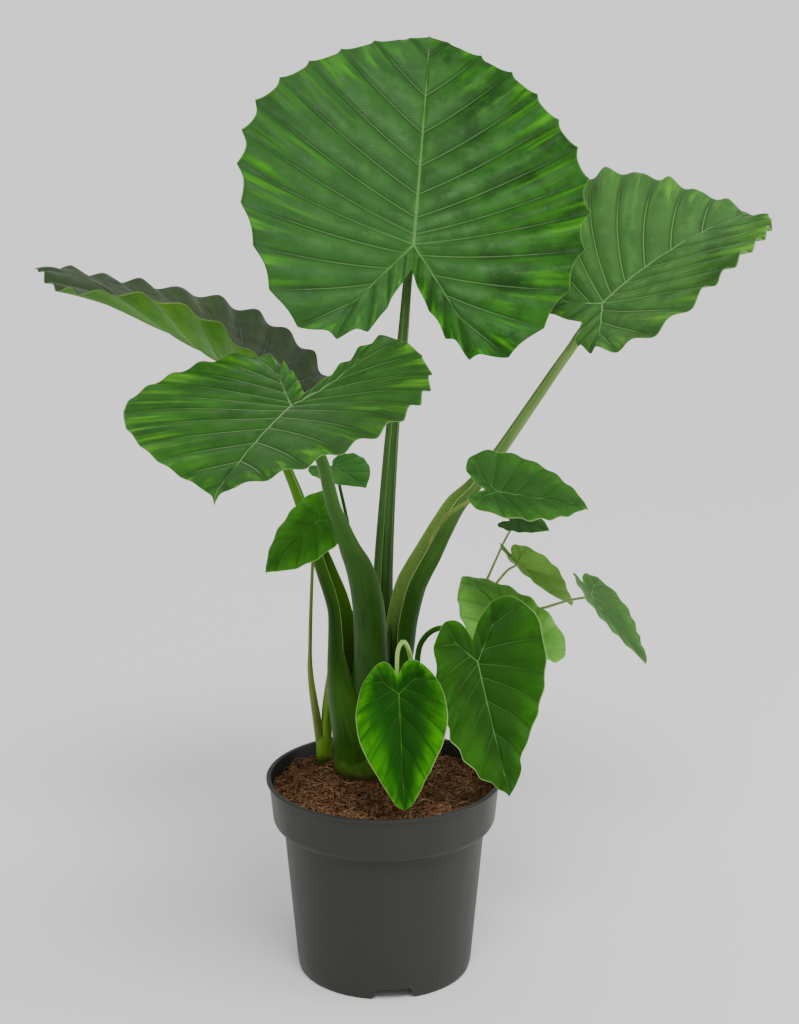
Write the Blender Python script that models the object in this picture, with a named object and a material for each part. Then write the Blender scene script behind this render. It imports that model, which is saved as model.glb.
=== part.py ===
"""A potted upright elephant ear plant, as solids.

A round plastic container holds a bed of coir. The plant stands in the bed: a stout crown carries four large
ribbed leaves on sheathed stalks and two small ones, and two offsets beside it carry the other small
heart-shaped leaves on thin stalks. Metres, +Z up. The origin is the centre of the container's base, on the
plane that it stands on. -Y is the side that faces the viewer.
"""
import math

import bmesh
import bpy
import numpy as np

GAP = 0.0003                      # clearance between pieces that touch

# Container: a 27 cm nursery pot with a collar
RIM_RADIUS = 0.135
POT_HEIGHT = 0.233
LIP_HEIGHT = 0.003
COLLAR_RADIUS = 0.1318            # under the lip
COLLAR_FOOT_RADIUS = 0.1275
COLLAR_HEIGHT = 0.052
SHOULDER_RADIUS = 0.1153          # body just under the collar
BODY_FOOT_RADIUS = 0.1016
FOOT_RADIUS = 0.0985
WALL = 0.0022
CHANNEL_HEIGHT = 0.012            # raised ring of the floor, between the foot and the middle
FLOOR_TOP = 0.0148
POT_SIDES = 44
DRAIN_SLOTS = 3                   # notches cut in the foot
DRAIN_SLOT_TURN = -84.0           # degrees, the notch towards the viewer
DRAIN_SLOT_TOP = 0.036
DRAIN_SLOT_FOOT = 0.056
DRAIN_HOLES = 6
DRAIN_HOLE_RADIUS = 0.006
DRAIN_HOLE_CIRCLE = 0.072

# Coir bed
SOIL_HEIGHT = 0.219               # at the wall
SOIL_MOUND = 0.016                # how much higher it is round the crown
SOIL_BUMP = 0.0022
SOIL_RINGS = 7

# Crowns: centre x, centre y, radius, top
MAIN_CROWN = (-0.0225, 0.020, 0.0355, 0.290)
RIGHT_OFFSET = (0.041, 0.018, 0.014, 0.264)
LEFT_OFFSET = (-0.070, 0.062, 0.0095, 0.262)
ROOT_DEPTH = 0.045                # how deep a crown stands in its hole
CROWN_SHOULDER = 0.012            # a crown is straight this far above the mound

LARGE_BLADE = 0.0012              # blade thicknesses
SMALL_BLADE = 0.0009
LARGE_ROWS = (0, 0.3, 0.6, 0.82, 1)   # rows of a half blade, from its ribs to its margin
SMALL_ROWS = (0, 0.4, 0.75, 1)
MIDRIB_SHARE = 0.50               # share of a half margin whose veins start on the midrib
LOBE_SHARE = 0.80                 # where the veins have run out along the basal rib
LOBE_RIB = 0.72                   # how far the basal rib reaches towards the lobe's margin
VEIN_CROWDING = 1.8               # veins start closer together near the joint
VEIN_BEND = 0.06                  # how far a vein bends towards the tip, as a share of its length
DOME = 0.12                       # height of the blade between two veins, as a share of their spacing
WIDEST_DOME = 0.03                # spacing past which a dome grows no higher
WAVE_START = 0.55                 # the waves begin this far out from the ribs
HOOK_START = 0.90                 # the tip turns down from this share of the length
FOLD_START = 0.06                 # the midrib is this flat, as a share of the blade's length

# Half outlines, as (half width, distance along the midrib) in shares of the length from joint to tip
TOP_LEFT_HALF = [(0.07, 0.97), (0.26, 0.89), (0.49, 0.73), (0.65, 0.53), (0.70, 0.29), (0.67, 0.06),
                 (0.59, -0.14), (0.49, -0.32), (0.37, -0.40), (0.23, -0.40), (0.12, -0.34), (0.06, -0.22)]
TOP_RIGHT_HALF = [(0.07, 0.97), (0.22, 0.89), (0.38, 0.78), (0.54, 0.58), (0.63, 0.41), (0.66, 0.20),
                  (0.62, -0.08), (0.51, -0.30), (0.39, -0.41), (0.27, -0.43), (0.16, -0.36), (0.05, -0.21)]
FRONT_LEFT_HALF = [(0.03, 0.93), (0.12, 0.89), (0.34, 0.79), (0.55, 0.63), (0.70, 0.42), (0.75, 0.13),
                   (0.69, -0.20), (0.52, -0.46), (0.33, -0.56), (0.18, -0.47), (0.07, -0.32)]
FRONT_RIGHT_HALF = [(0.03, 0.95), (0.13, 0.89), (0.30, 0.79), (0.51, 0.64), (0.71, 0.43), (0.80, 0.20),
                    (0.77, -0.12), (0.64, -0.43), (0.46, -0.57), (0.29, -0.54), (0.13, -0.37)]
SIDE_LEFT_HALF = [(0.05, 0.98), (0.22, 0.87), (0.40, 0.78), (0.58, 0.66), (0.70, 0.50), (0.74, 0.27),
                  (0.69, 0.02), (0.58, -0.17), (0.43, -0.27), (0.29, -0.28), (0.16, -0.21), (0.07, -0.17)]
SIDE_RIGHT_HALF = [(0.19, 0.93), (0.37, 0.79), (0.51, 0.57), (0.60, 0.32), (0.64, 0.10), (0.60, -0.06),
                   (0.51, -0.20), (0.37, -0.28), (0.21, -0.29), (0.09, -0.24)]
TROUGH_HALF = [(0.07, 0.96), (0.24, 0.85), (0.42, 0.70), (0.55, 0.50), (0.61, 0.28), (0.61, 0.05),
               (0.54, -0.15), (0.42, -0.29), (0.28, -0.33), (0.14, -0.27), (0.06, -0.18)]
HEART_HALF = [(0.08, 0.94), (0.20, 0.74), (0.36, 0.44), (0.41, 0.19), (0.36, -0.05), (0.26, -0.20),
              (0.15, -0.28), (0.07, -0.26)]
WIDE_HEART_HALF = [(0.10, 0.91), (0.28, 0.73), (0.44, 0.46), (0.52, 0.14), (0.50, -0.12), (0.40, -0.29),
                   (0.25, -0.34), (0.11, -0.27)]
LONG_HEART_LEFT = [(0.10, 0.90), (0.17, 0.74), (0.28, 0.59), (0.40, 0.41), (0.48, 0.24), (0.53, 0.05),
                   (0.54, -0.12), (0.49, -0.29), (0.38, -0.40), (0.26, -0.41), (0.12, -0.33)]
LONG_HEART_RIGHT = [(0.04, 0.95), (0.18, 0.83), (0.30, 0.66), (0.37, 0.47), (0.39, 0.21), (0.37, -0.02),
                    (0.33, -0.17), (0.25, -0.30), (0.14, -0.34), (0.05, -0.29)]

# One entry for each leaf. joint: where the stalk meets the blade. heading: degrees from +X, anticlockwise,
# that the tip points to. pitch: its rise. roll: turn about the tip, right side down. fold: degrees that each
# half rises from the midrib. curl: how that rise grows across a half, in radians a metre. droop: how the
# blade bends down towards the tip, and lobe_droop towards the lobes, in radians a metre. veins: how many
# leave the midrib and each basal rib on a side. hook: how far the very tip turns down, as a share of the
# length. wave and scallop: how far the margin rises between the veins and runs out at them, in metres.
# crests: how strong both are from the tip round to the sinus, on the left and on the right.
LARGE_LEAVES = {
    "leaf_top": dict(
        joint=(0.033, 0.030, 0.837), heading=82, pitch=54, roll=12, length=0.281, sinus=-0.10,
        left=TOP_LEFT_HALF, right=TOP_RIGHT_HALF, fold=(6, 7), curl=(0, 0), droop=0.55,
        lobe_droop=(1.2, 1.4), wave=0.0036, veins=(8, 4), scallop=0.0095, hook=0.01,
        crests=((0.3, 1, 1, 1, 1, 1.1, 1.2, 1, 0.7, 0.5, 0.5, 0.6, 0.9, 0.9, 0.5, 0.2, 0),
                (0.3, 1.1, 1.2, 1.2, 1, 1, 1, 1.1, 1.1, 0.9, 0.6, 0.6, 1, 1.1, 0.4, 0.2, 0))),
    "leaf_right": dict(
        joint=(0.245, 0.080, 0.764), heading=24, pitch=38, roll=10, length=0.229, sinus=-0.14,
        left=SIDE_LEFT_HALF, right=SIDE_RIGHT_HALF, fold=(20, 12), curl=(0, 0), droop=2.2,
        lobe_droop=(-3.6, -2.6), wave=0.0062, veins=(7, 3), scallop=0.0014, hook=0.05,
        crests=((0.2, 0.7, 0.2, 1.1, 0.1, 1.2, 1, 0.6, 0.8, 0.8, 0.6, 0.4, 0.2, 0),
                (0.2, 1, 0.8, 1, 0.6, 0.9, 0.6, 0.9, 0.8, 0.8, 0.9, 0.6, 0.2, 0))),
    "leaf_front": dict(
        joint=(-0.094, -0.158, 0.701), heading=-111, pitch=-9, roll=10, length=0.205, sinus=-0.17,
        left=FRONT_LEFT_HALF, right=FRONT_RIGHT_HALF, fold=(1, 14), curl=(0, 0), droop=0.8,
        lobe_droop=(-4.5, -0.5), wave=0.0034, veins=(7, 4), scallop=0.0030, hook=0.03,
        crests=((0, 0.5, 0.8, 0.9, 1, 1, 1, 1, 1, 1, 1.3, 1.5, 1.3, 0.9, 0.4, 0),
                (0, 0.3, 0.3, 0.3, 0.4, 0.4, 0.4, 0.5, 0.6, 0.8, 1.1, 1.5, 1.6, 1, 0.4, 0))),
    "leaf_left": dict(
        joint=(-0.159, 0.140, 0.679), heading=163, pitch=28.5, roll=8, length=0.279, sinus=-0.12,
        left=TROUGH_HALF, right=TROUGH_HALF, fold=(-9, -2), curl=(5.9, 2.4), droop=0.6,
        lobe_droop=(2.2, 2.9), wave=0.0050, veins=(6, 4), scallop=0.0014, hook=0.03,
        crests=((0.2, 0.8, 0.6, 0.9, 0.6, 0.9, 0.7, 0.9, 1, 0.8, 0.8, 0.6, 0.4, 0.2, 0),
                (0.3, 1, 0.8, 1.2, 0.7, 1.1, 1.2, 0.8, 1.2, 0.9, 1, 0.8, 0.5, 0.2, 0))),
}
SMALL_LEAVES = {
    "leaflet_front": dict(
        joint=(0.016, -0.110, 0.371), heading=-77, pitch=-78, roll=-2, length=0.128, sinus=-0.15,
        left=HEART_HALF, right=HEART_HALF, fold=(10, 12), curl=(0, 0), droop=-0.1,
        lobe_droop=(1.9, 1.7), wave=0.0010, veins=(4, 2), scallop=0.0, hook=0.01,
        crests=((0, 1, 0.6, 1, 0.5, 0), (0, 0.6, 1, 0.7, 0.5, 0))),
    "leaflet_front_right": dict(
        joint=(0.103, -0.060, 0.390), heading=-51, pitch=-70, roll=11, length=0.152, sinus=-0.17,
        left=LONG_HEART_LEFT, right=LONG_HEART_RIGHT, fold=(11, 7), curl=(0, 0), droop=-0.5,
        lobe_droop=(0.8, 1.8), wave=0.0034, veins=(5, 2), scallop=0.0012, hook=0.01,
        crests=((0.2, 1.2, 0.5, 1.1, 0.6, 1.2, 1, 0.3, 0),
                (0.2, 1.3, 0.6, 1.2, 0.5, 1, 0.8, 0.3, 0))),
    "leaflet_behind": dict(
        joint=(0.157, 0.005, 0.392), heading=137, pitch=42, roll=-16, length=0.114, sinus=-0.12,
        left=WIDE_HEART_HALF, right=WIDE_HEART_HALF, fold=(5, -12), curl=(0, 0), droop=3.8,
        lobe_droop=(1.7, 2.1), wave=0.0026, veins=(4, 2), scallop=0.0004, hook=0.02,
        crests=((0.2, 1, 0.6, 1.2, 0.8, 0), (0.2, 0.7, 1.2, 0.7, 0.9, 0))),
    "leaflet_right_high": dict(
        joint=(0.124, -0.030, 0.576), heading=7, pitch=-12, roll=29, length=0.105, sinus=-0.13,
        left=WIDE_HEART_HALF, right=WIDE_HEART_HALF, fold=(14, 16), curl=(0, 0), droop=-0.6,
        lobe_droop=(-0.1, 0.5), wave=0.0020, veins=(4, 2), scallop=0.0003, hook=0.06,
        crests=((0.2, 1, 0.5, 1.1, 0.7, 0), (0.2, 0.8, 1.1, 0.6, 0.8, 0))),
    "leaflet_hidden": dict(
        joint=(0.150, 0.085, 0.510), heading=-25, pitch=-6, roll=20, length=0.044, sinus=-0.12,
        left=WIDE_HEART_HALF, right=WIDE_HEART_HALF, fold=(9, 10), curl=(0, 0), droop=0.8,
        lobe_droop=(1.0, 1.0), wave=0.0008, veins=(3, 2), scallop=0.0, hook=0.02,
        crests=((0, 1, 0.8, 0), (0, 0.8, 1, 0))),
    "leaflet_pale": dict(
        joint=(0.153, 0.045, 0.472), heading=24, pitch=-53, roll=-15, length=0.097, sinus=-0.15,
        left=HEART_HALF, right=HEART_HALF, fold=(21, 27), curl=(0, 0), droop=-5.3,
        lobe_droop=(-0.8, -0.8), wave=0.0010, veins=(3, 2), scallop=0.0, hook=0.02,
        crests=((0, 1, 0.8, 0), (0, 0.8, 1, 0))),
    "leaflet_far_right": dict(
        joint=(0.235, 0.025, 0.440), heading=-49, pitch=-42, roll=-22, length=0.103, sinus=-0.17,
        left=HEART_HALF, right=HEART_HALF, fold=(19, 14), curl=(0, 0), droop=-2.3,
        lobe_droop=(-0.4, -0.1), wave=0.0012, veins=(4, 2), scallop=0.0, hook=0.02,
        crests=((0, 1, 0.7, 0.9, 0), (0, 0.8, 1, 0.6, 0))),
    "leaflet_left": dict(
        joint=(-0.072, 0.000, 0.535), heading=-168, pitch=-41, roll=-26, length=0.083, sinus=-0.19,
        left=WIDE_HEART_HALF, right=WIDE_HEART_HALF, fold=(-4, -1), curl=(0, 0), droop=0.5,
        lobe_droop=(0.7, 0.9), wave=0.0014, veins=(3, 2), scallop=0.0, hook=0.02,
        crests=((0, 1, 0.7, 0.9, 0), (0, 0.8, 1, 0.6, 0))),
    "leaflet_back": dict(
        joint=(-0.054, 0.050, 0.583), heading=-56, pitch=-7, roll=14, length=0.062, sinus=-0.12,
        left=WIDE_HEART_HALF, right=WIDE_HEART_HALF, fold=(6, 9), curl=(0, 0), droop=0.9,
        lobe_droop=(1.0, 1.0), wave=0.0008, veins=(3, 2), scallop=0.0, hook=0.02,
        crests=((0, 1, 0.8, 0), (0, 0.8, 1, 0))),
}

# Stalks: path from the crown towards the joint, the side that its back faces, the groove in its front, and
# along the path the share, half width, depth of the back, length of the wings, how far they close round,
# wall, and how far the section is open. Thin stalks are plain: share, half width and half depth.
STALKS = {
    "leaf_top": dict(
        back=(-0.35, 1, 0), groove=0.45, rings=13,
        path=[(-0.012, 0.032, 0.262), (-0.004, 0.034, 0.312), (-0.002, 0.037, 0.383), (0.000, 0.042, 0.477),
              (0.010, 0.050, 0.626), (0.021, 0.052, 0.724), (0.027, 0.049, 0.796)],
        form=[(0.0, 0.0130, 0.0110, 0.010, 0, 0.006, 0.0), (0.30, 0.0120, 0.0110, 0.010, 0, 0.006, 0.0),
              (0.50, 0.0092, 0.0088, 0.008, 0, 0.005, 0.0), (0.70, 0.0070, 0.0070, 0.007, 0, 0.005, 0.0),
              (1.0, 0.0044, 0.0044, 0.004, 0, 0.004, 0.0)]),
    "leaf_right": dict(
        back=(0.85, 0.40, -0.35), groove=0.20, rings=20,
        path=[(-0.006, 0.022, 0.262), (0.010, 0.022, 0.315), (0.019, 0.022, 0.376), (0.023, 0.022, 0.412),
              (0.031, 0.024, 0.447), (0.039, 0.027, 0.465), (0.052, 0.031, 0.488), (0.066, 0.036, 0.514),
              (0.083, 0.044, 0.541), (0.102, 0.051, 0.561), (0.132, 0.058, 0.601), (0.194, 0.078, 0.689),
              (0.210, 0.085, 0.710), (0.227, 0.088, 0.735)],
        form=[(0.0, 0.0180, 0.0110, 0.010, 0, 0.005, 0.9), (0.10, 0.0200, 0.0145, 0.013, 0, 0.005, 1.0),
              (0.19, 0.0180, 0.0145, 0.013, 0, 0.005, 1.0), (0.25, 0.0160, 0.0155, 0.014, 0, 0.005, 1.0),
              (0.32, 0.0150, 0.0160, 0.014, 0, 0.005, 1.0), (0.40, 0.0130, 0.0145, 0.013, 0, 0.005, 1.0),
              (0.51, 0.0105, 0.0100, 0.010, 0, 0.005, 1.0), (0.58, 0.0080, 0.0078, 0.006, 0, 0.005, 0.6),
              (0.65, 0.0068, 0.0068, 0.004, 0, 0.005, 0.0), (1.0, 0.0048, 0.0048, 0.004, 0, 0.004, 0.0)]),
    "leaf_front": dict(
        back=(-0.45, -1, 0.2), groove=0.20, rings=18,
        path=[(-0.025, 0.003, 0.262), (-0.020, -0.007, 0.328), (-0.016, -0.018, 0.366),
              (-0.016, -0.030, 0.413), (-0.019, -0.042, 0.456), (-0.027, -0.056, 0.496),
              (-0.036, -0.067, 0.521), (-0.045, -0.080, 0.550), (-0.054, -0.092, 0.578),
              (-0.063, -0.118, 0.628), (-0.076, -0.142, 0.667)],
        form=[(0.0, 0.0200, 0.0120, 0.006, 0, 0.005, 0.8), (0.21, 0.0200, 0.0125, 0.006, 0, 0.004, 1.0),
              (0.41, 0.0176, 0.0120, 0.006, 0, 0.004, 1.0), (0.51, 0.0150, 0.0110, 0.005, 0, 0.004, 1.0),
              (0.60, 0.0100, 0.0095, 0.004, 0, 0.005, 0.6), (0.66, 0.0082, 0.0080, 0.004, 0, 0.005, 0.0),
              (0.82, 0.0066, 0.0066, 0.004, 0, 0.005, 0.0), (1.0, 0.0048, 0.0048, 0.004, 0, 0.004, 0.0)]),
    "leaf_left": dict(
        back=(-0.92, 0.38, -0.12), groove=0.20, rings=26,
        path=[(-0.0235, 0.020, 0.246), (-0.0255, 0.020, 0.265), (-0.030, 0.0195, 0.290),
              (-0.036, 0.019, 0.318), (-0.041, 0.021, 0.345), (-0.0455, 0.026, 0.374),
              (-0.0495, 0.032, 0.414),
              (-0.055, 0.038, 0.434), (-0.067, 0.048, 0.463), (-0.083, 0.062, 0.503),
              (-0.097, 0.075, 0.542), (-0.107, 0.083, 0.566), (-0.132, 0.108, 0.620),
              (-0.144, 0.122, 0.649)],
        form=[(0.0, 0.0345, 0.0340, 0.030, 0.85, 0.004, 1.0), (0.07, 0.0365, 0.0310, 0.028, 0.75, 0.004, 1.0),
              (0.17, 0.0355, 0.0250, 0.022, 0.40, 0.004, 1.0),
              (0.225, 0.0320, 0.0205, 0.016, 0.15, 0.004, 1.0),
              (0.285, 0.0230, 0.0165, 0.010, 0, 0.004, 1.0), (0.365, 0.0165, 0.0130, 0.008, 0, 0.004, 1.0),
              (0.42, 0.0135, 0.0115, 0.009, 0, 0.004, 1.0), (0.49, 0.0105, 0.0098, 0.009, 0, 0.004, 1.0),
              (0.57, 0.0085, 0.0085, 0.007, 0, 0.005, 0.8), (0.63, 0.0068, 0.0068, 0.004, 0, 0.005, 0.0),
              (0.76, 0.0053, 0.0053, 0.004, 0, 0.004, 0.0), (1.0, 0.0042, 0.0042, 0.004, 0, 0.004, 0.0)]),
    "leaflet_right_high": dict(
        back=(0, -1, 0), rings=12,
        path=[(0.0296, 0.0270, 0.368), (0.0270, 0.0255, 0.405), (0.030, 0.026, 0.440), (0.044, 0.026, 0.478),
              (0.054, 0.018, 0.512), (0.069, 0.005, 0.538), (0.084, -0.008, 0.553), (0.101, -0.016, 0.564)],
        form=[(0.0, 0.0030, 0.0030), (1.0, 0.0021, 0.0021)]),
    "leaflet_back": dict(
        back=(0, 1, 0), rings=8,
        path=[(-0.021, 0.028, 0.275), (-0.025, 0.047, 0.400), (-0.038, 0.053, 0.500), (-0.049, 0.055, 0.557)],
        form=[(0.0, 0.0030, 0.0030), (1.0, 0.0018, 0.0018)]),
    "leaflet_front": dict(
        back=(1, 0, 0), rings=18,
        path=[(0.040, 0.012, 0.250), (0.034, -0.020, 0.331), (0.031, -0.060, 0.383), (0.027, -0.078, 0.410),
              (0.021, -0.090, 0.424), (0.015, -0.096, 0.416), (0.014, -0.097, 0.395)],
        form=[(0.0, 0.0035, 0.0035), (1.0, 0.0022, 0.0022)]),
    "leaflet_front_right": dict(
        back=(0, 1, 0), rings=18,
        path=[(0.043, 0.010, 0.250), (0.038, -0.006, 0.325), (0.038, -0.021, 0.384), (0.046, -0.030, 0.409),
              (0.062, -0.038, 0.422), (0.082, -0.040, 0.418), (0.095, -0.042, 0.403)],
        form=[(0.0, 0.0040, 0.0040), (1.0, 0.0028, 0.0028)]),
    "leaflet_behind": dict(
        back=(1, 0, 0), rings=9,
        path=[(0.046, 0.016, 0.252), (0.064, 0.015, 0.294), (0.087, 0.012, 0.332), (0.114, 0.010, 0.362),
              (0.137, 0.010, 0.376)],
        form=[(0.0, 0.0035, 0.0035), (1.0, 0.0022, 0.0022)]),
    "leaflet_hidden": dict(
        back=(1, 0, 0), rings=12,
        path=[(0.043, 0.022, 0.252), (0.064, 0.035, 0.311), (0.096, 0.086, 0.366), (0.111, 0.104, 0.406),
              (0.118, 0.106, 0.427), (0.132, 0.094, 0.466), (0.140, 0.088, 0.487)],
        form=[(0.0, 0.0028, 0.0028), (1.0, 0.0013, 0.0013)]),
    "leaflet_pale": dict(
        back=(1, 0, 0), rings=12,
        path=[(0.048, 0.020, 0.252), (0.070, 0.032, 0.311), (0.100, 0.082, 0.367), (0.118, 0.100, 0.403),
              (0.126, 0.100, 0.423), (0.139, 0.076, 0.450), (0.144, 0.062, 0.460)],
        form=[(0.0, 0.0028, 0.0028), (1.0, 0.0014, 0.0014)]),
    "leaflet_far_right": dict(
        back=(1, 0, 0), rings=12,
        path=[(0.047, 0.018, 0.252), (0.073, 0.034, 0.311), (0.106, 0.070, 0.353), (0.142, 0.084, 0.385),
              (0.170, 0.082, 0.402), (0.188, 0.068, 0.412), (0.210, 0.042, 0.428)],
        form=[(0.0, 0.0028, 0.0028), (1.0, 0.0014, 0.0014)]),
    "leaflet_left": dict(
        back=(-0.9, -0.3, 0), rings=10,
        path=[(-0.0735, 0.062, 0.240), (-0.078, 0.060, 0.275), (-0.0845, 0.052, 0.335),
              (-0.084, 0.036, 0.392), (-0.080, 0.020, 0.480), (-0.078, 0.012, 0.512)],
        form=[(0.0, 0.0062, 0.0055), (0.15, 0.0056, 0.0048), (0.36, 0.0034, 0.0034),
              (0.42, 0.0024, 0.0024), (1.0, 0.0016, 0.0016)]),
}
# The dried sheath of a leaf that is gone, beside the left offset. It ends free.
OLD_SHEATH = dict(
    path=[(-0.0665, 0.0605, 0.238), (-0.0678, 0.0600, 0.262), (-0.0675, 0.0590, 0.290),
          (-0.0640, 0.0570, 0.325), (-0.0605, 0.0550, 0.360)],
    back=(-0.75, -0.65, 0), rings=9,
    form=[(0.0, 0.0058, 0.0050), (0.30, 0.0060, 0.0046), (0.65, 0.0050, 0.0034), (1.0, 0.0018, 0.0016)])
STEM_GROUPS = {
    "stems": (MAIN_CROWN, ["leaf_top", "leaf_right", "leaf_front", "leaf_left", "leaflet_right_high",
                           "leaflet_back"]),
    "offset_right_stems": (RIGHT_OFFSET, ["leaflet_front", "leaflet_front_right", "leaflet_behind",
                                          "leaflet_hidden", "leaflet_pale", "leaflet_far_right"]),
    "offset_left_stem": (LEFT_OFFSET, ["leaflet_left"]),
}
THIN_STALK_SIDES = 6
CROWN_SIDES = 20
BACK_SHARE = 0.55                 # share of an open section's line that is its back, the rest is its wings
CLOSED_TURN = math.radians(152)   # how far round a closed section its outer points go
THIN_WALL = 0.0012                # of a sheath at its edge
SHEATH_POINTS = 9                 # along each side of a sheath's section
SLOPE_REACH = 0.15                # the line's direction is taken over this much of it, each way

PLASTIC = (0.045, 0.047, 0.043)
COIR = (0.055, 0.022, 0.012)
STALK_GREEN = (0.052, 0.135, 0.018)
LEAF_GREEN = (0.030, 0.140, 0.016)
YOUNG_GREEN = (0.055, 0.200, 0.020)


def material(name, colour, roughness):
    """A plain principled material."""
    made = bpy.data.materials.new(name)
    made.use_nodes = True
    shader = made.node_tree.nodes["Principled BSDF"]
    shader.inputs["Base Color"].default_value = (*colour, 1.0)
    shader.inputs["Roughness"].default_value = roughness
    shader.inputs["Metallic"].default_value = 0.0
    made.diffuse_color = (*colour, 1.0)
    return made


def mesh_object(name, points, faces, made_of):
    """An object from points and faces, with doubled points merged."""
    mesh = bpy.data.meshes.new(name)
    mesh.from_pydata([tuple(map(float, p)) for p in points], [], faces)
    work = bmesh.new()
    work.from_mesh(mesh)
    bmesh.ops.remove_doubles(work, verts=work.verts, dist=1e-6)
    work.to_mesh(mesh)
    work.free()
    mesh.materials.append(made_of)
    mesh.shade_smooth()
    mesh.set_sharp_from_angle(angle=math.radians(40))
    made = bpy.data.objects.new(name, mesh)
    bpy.context.collection.objects.link(made)
    return made


def boolean(target, operation, other):
    """Add a Boolean modifier that reads an object or a collection."""
    cut = target.modifiers.new("boolean", "BOOLEAN")
    cut.operation = operation
    cut.solver = "EXACT"
    if isinstance(other, bpy.types.Collection):
        cut.operand_type = "COLLECTION"
        cut.collection = other
    else:
        cut.object = other
        other.hide_render = True
        other.display_type = "WIRE"
    return cut


def smooth_curve(points, shares):
    """Catmull-Rom curve through the points, read at shares of its length."""
    knots = np.array(points, float)
    knots = np.vstack([2 * knots[0] - knots[1], knots, 2 * knots[-1] - knots[-2]])
    spans = len(knots) - 3
    at = np.linspace(0, spans, spans * 40 + 1)
    first = np.minimum(at.astype(int), spans - 1)
    u = (at - first)[:, None]
    a, b, c, d = (knots[first + k] for k in range(4))
    curve = 0.5 * (2 * b + (c - a) * u + (2 * a - 5 * b + 4 * c - d) * u ** 2
                   + (3 * b - a - 3 * c + d) * u ** 3)
    steps = np.linalg.norm(np.diff(curve, axis=0), axis=1)
    along = np.concatenate([[0.0], np.cumsum(steps)])
    along /= along[-1]
    return np.stack([np.interp(shares, along, curve[:, k]) for k in range(knots.shape[1])], -1)


def blade_axes(leaf):
    """The blade's right side, tip direction and upper normal, as columns."""
    heading, pitch, roll = (math.radians(leaf[k]) for k in ("heading", "pitch", "roll"))
    tip = np.array([math.cos(heading) * math.cos(pitch), math.sin(heading) * math.cos(pitch),
                    math.sin(pitch)])
    up = np.array([-math.cos(heading) * math.sin(pitch), -math.sin(heading) * math.sin(pitch),
                   math.cos(pitch)])
    right = np.cross(tip, up)
    turned_right = math.cos(roll) * right - math.sin(roll) * up
    turned_up = math.sin(roll) * right + math.cos(roll) * up
    return np.stack([turned_right, tip, turned_up], 1)


def bent_blade(leaf, side, across, along, lift):
    """Flat blade coordinates carried to their place in space.

    A half rises from the midrib by its fold and curl, and the blade then bends down along the midrib, with
    the curvature droop towards the tip and lobe_droop towards the lobes. side is -1 for left, 1 for right.
    """
    length = leaf["length"]
    index = 0 if side < 0 else 1
    towards_tip = np.clip(along / length, 0, 1)
    fold = math.radians(leaf["fold"][index]) * across / (across + FOLD_START * length)
    rise = fold + leaf["curl"][index] * (1 - towards_tip ** 2) * across / 2
    flat = across * np.cos(rise)
    height = across * np.sin(rise) + lift
    common = sum(leaf["lobe_droop"]) / 2
    own = leaf["lobe_droop"][index] - common
    lobe_bend = common + own * np.clip(across / (0.25 * length), 0, 1)
    bend = np.where(along > 0, leaf["droop"], lobe_bend)
    bend = np.where(np.abs(bend) < 1e-4, 1e-4, bend)
    angle = bend * np.abs(along)
    sign = np.sign(along)
    forward = sign * (np.sin(angle) / bend + np.sin(angle) * height)
    down = (np.cos(angle) - 1) / bend + np.cos(angle) * height
    local = np.stack([side * flat, forward, down], -1)
    return np.array(leaf["joint"]) + local @ blade_axes(leaf).T


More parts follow.
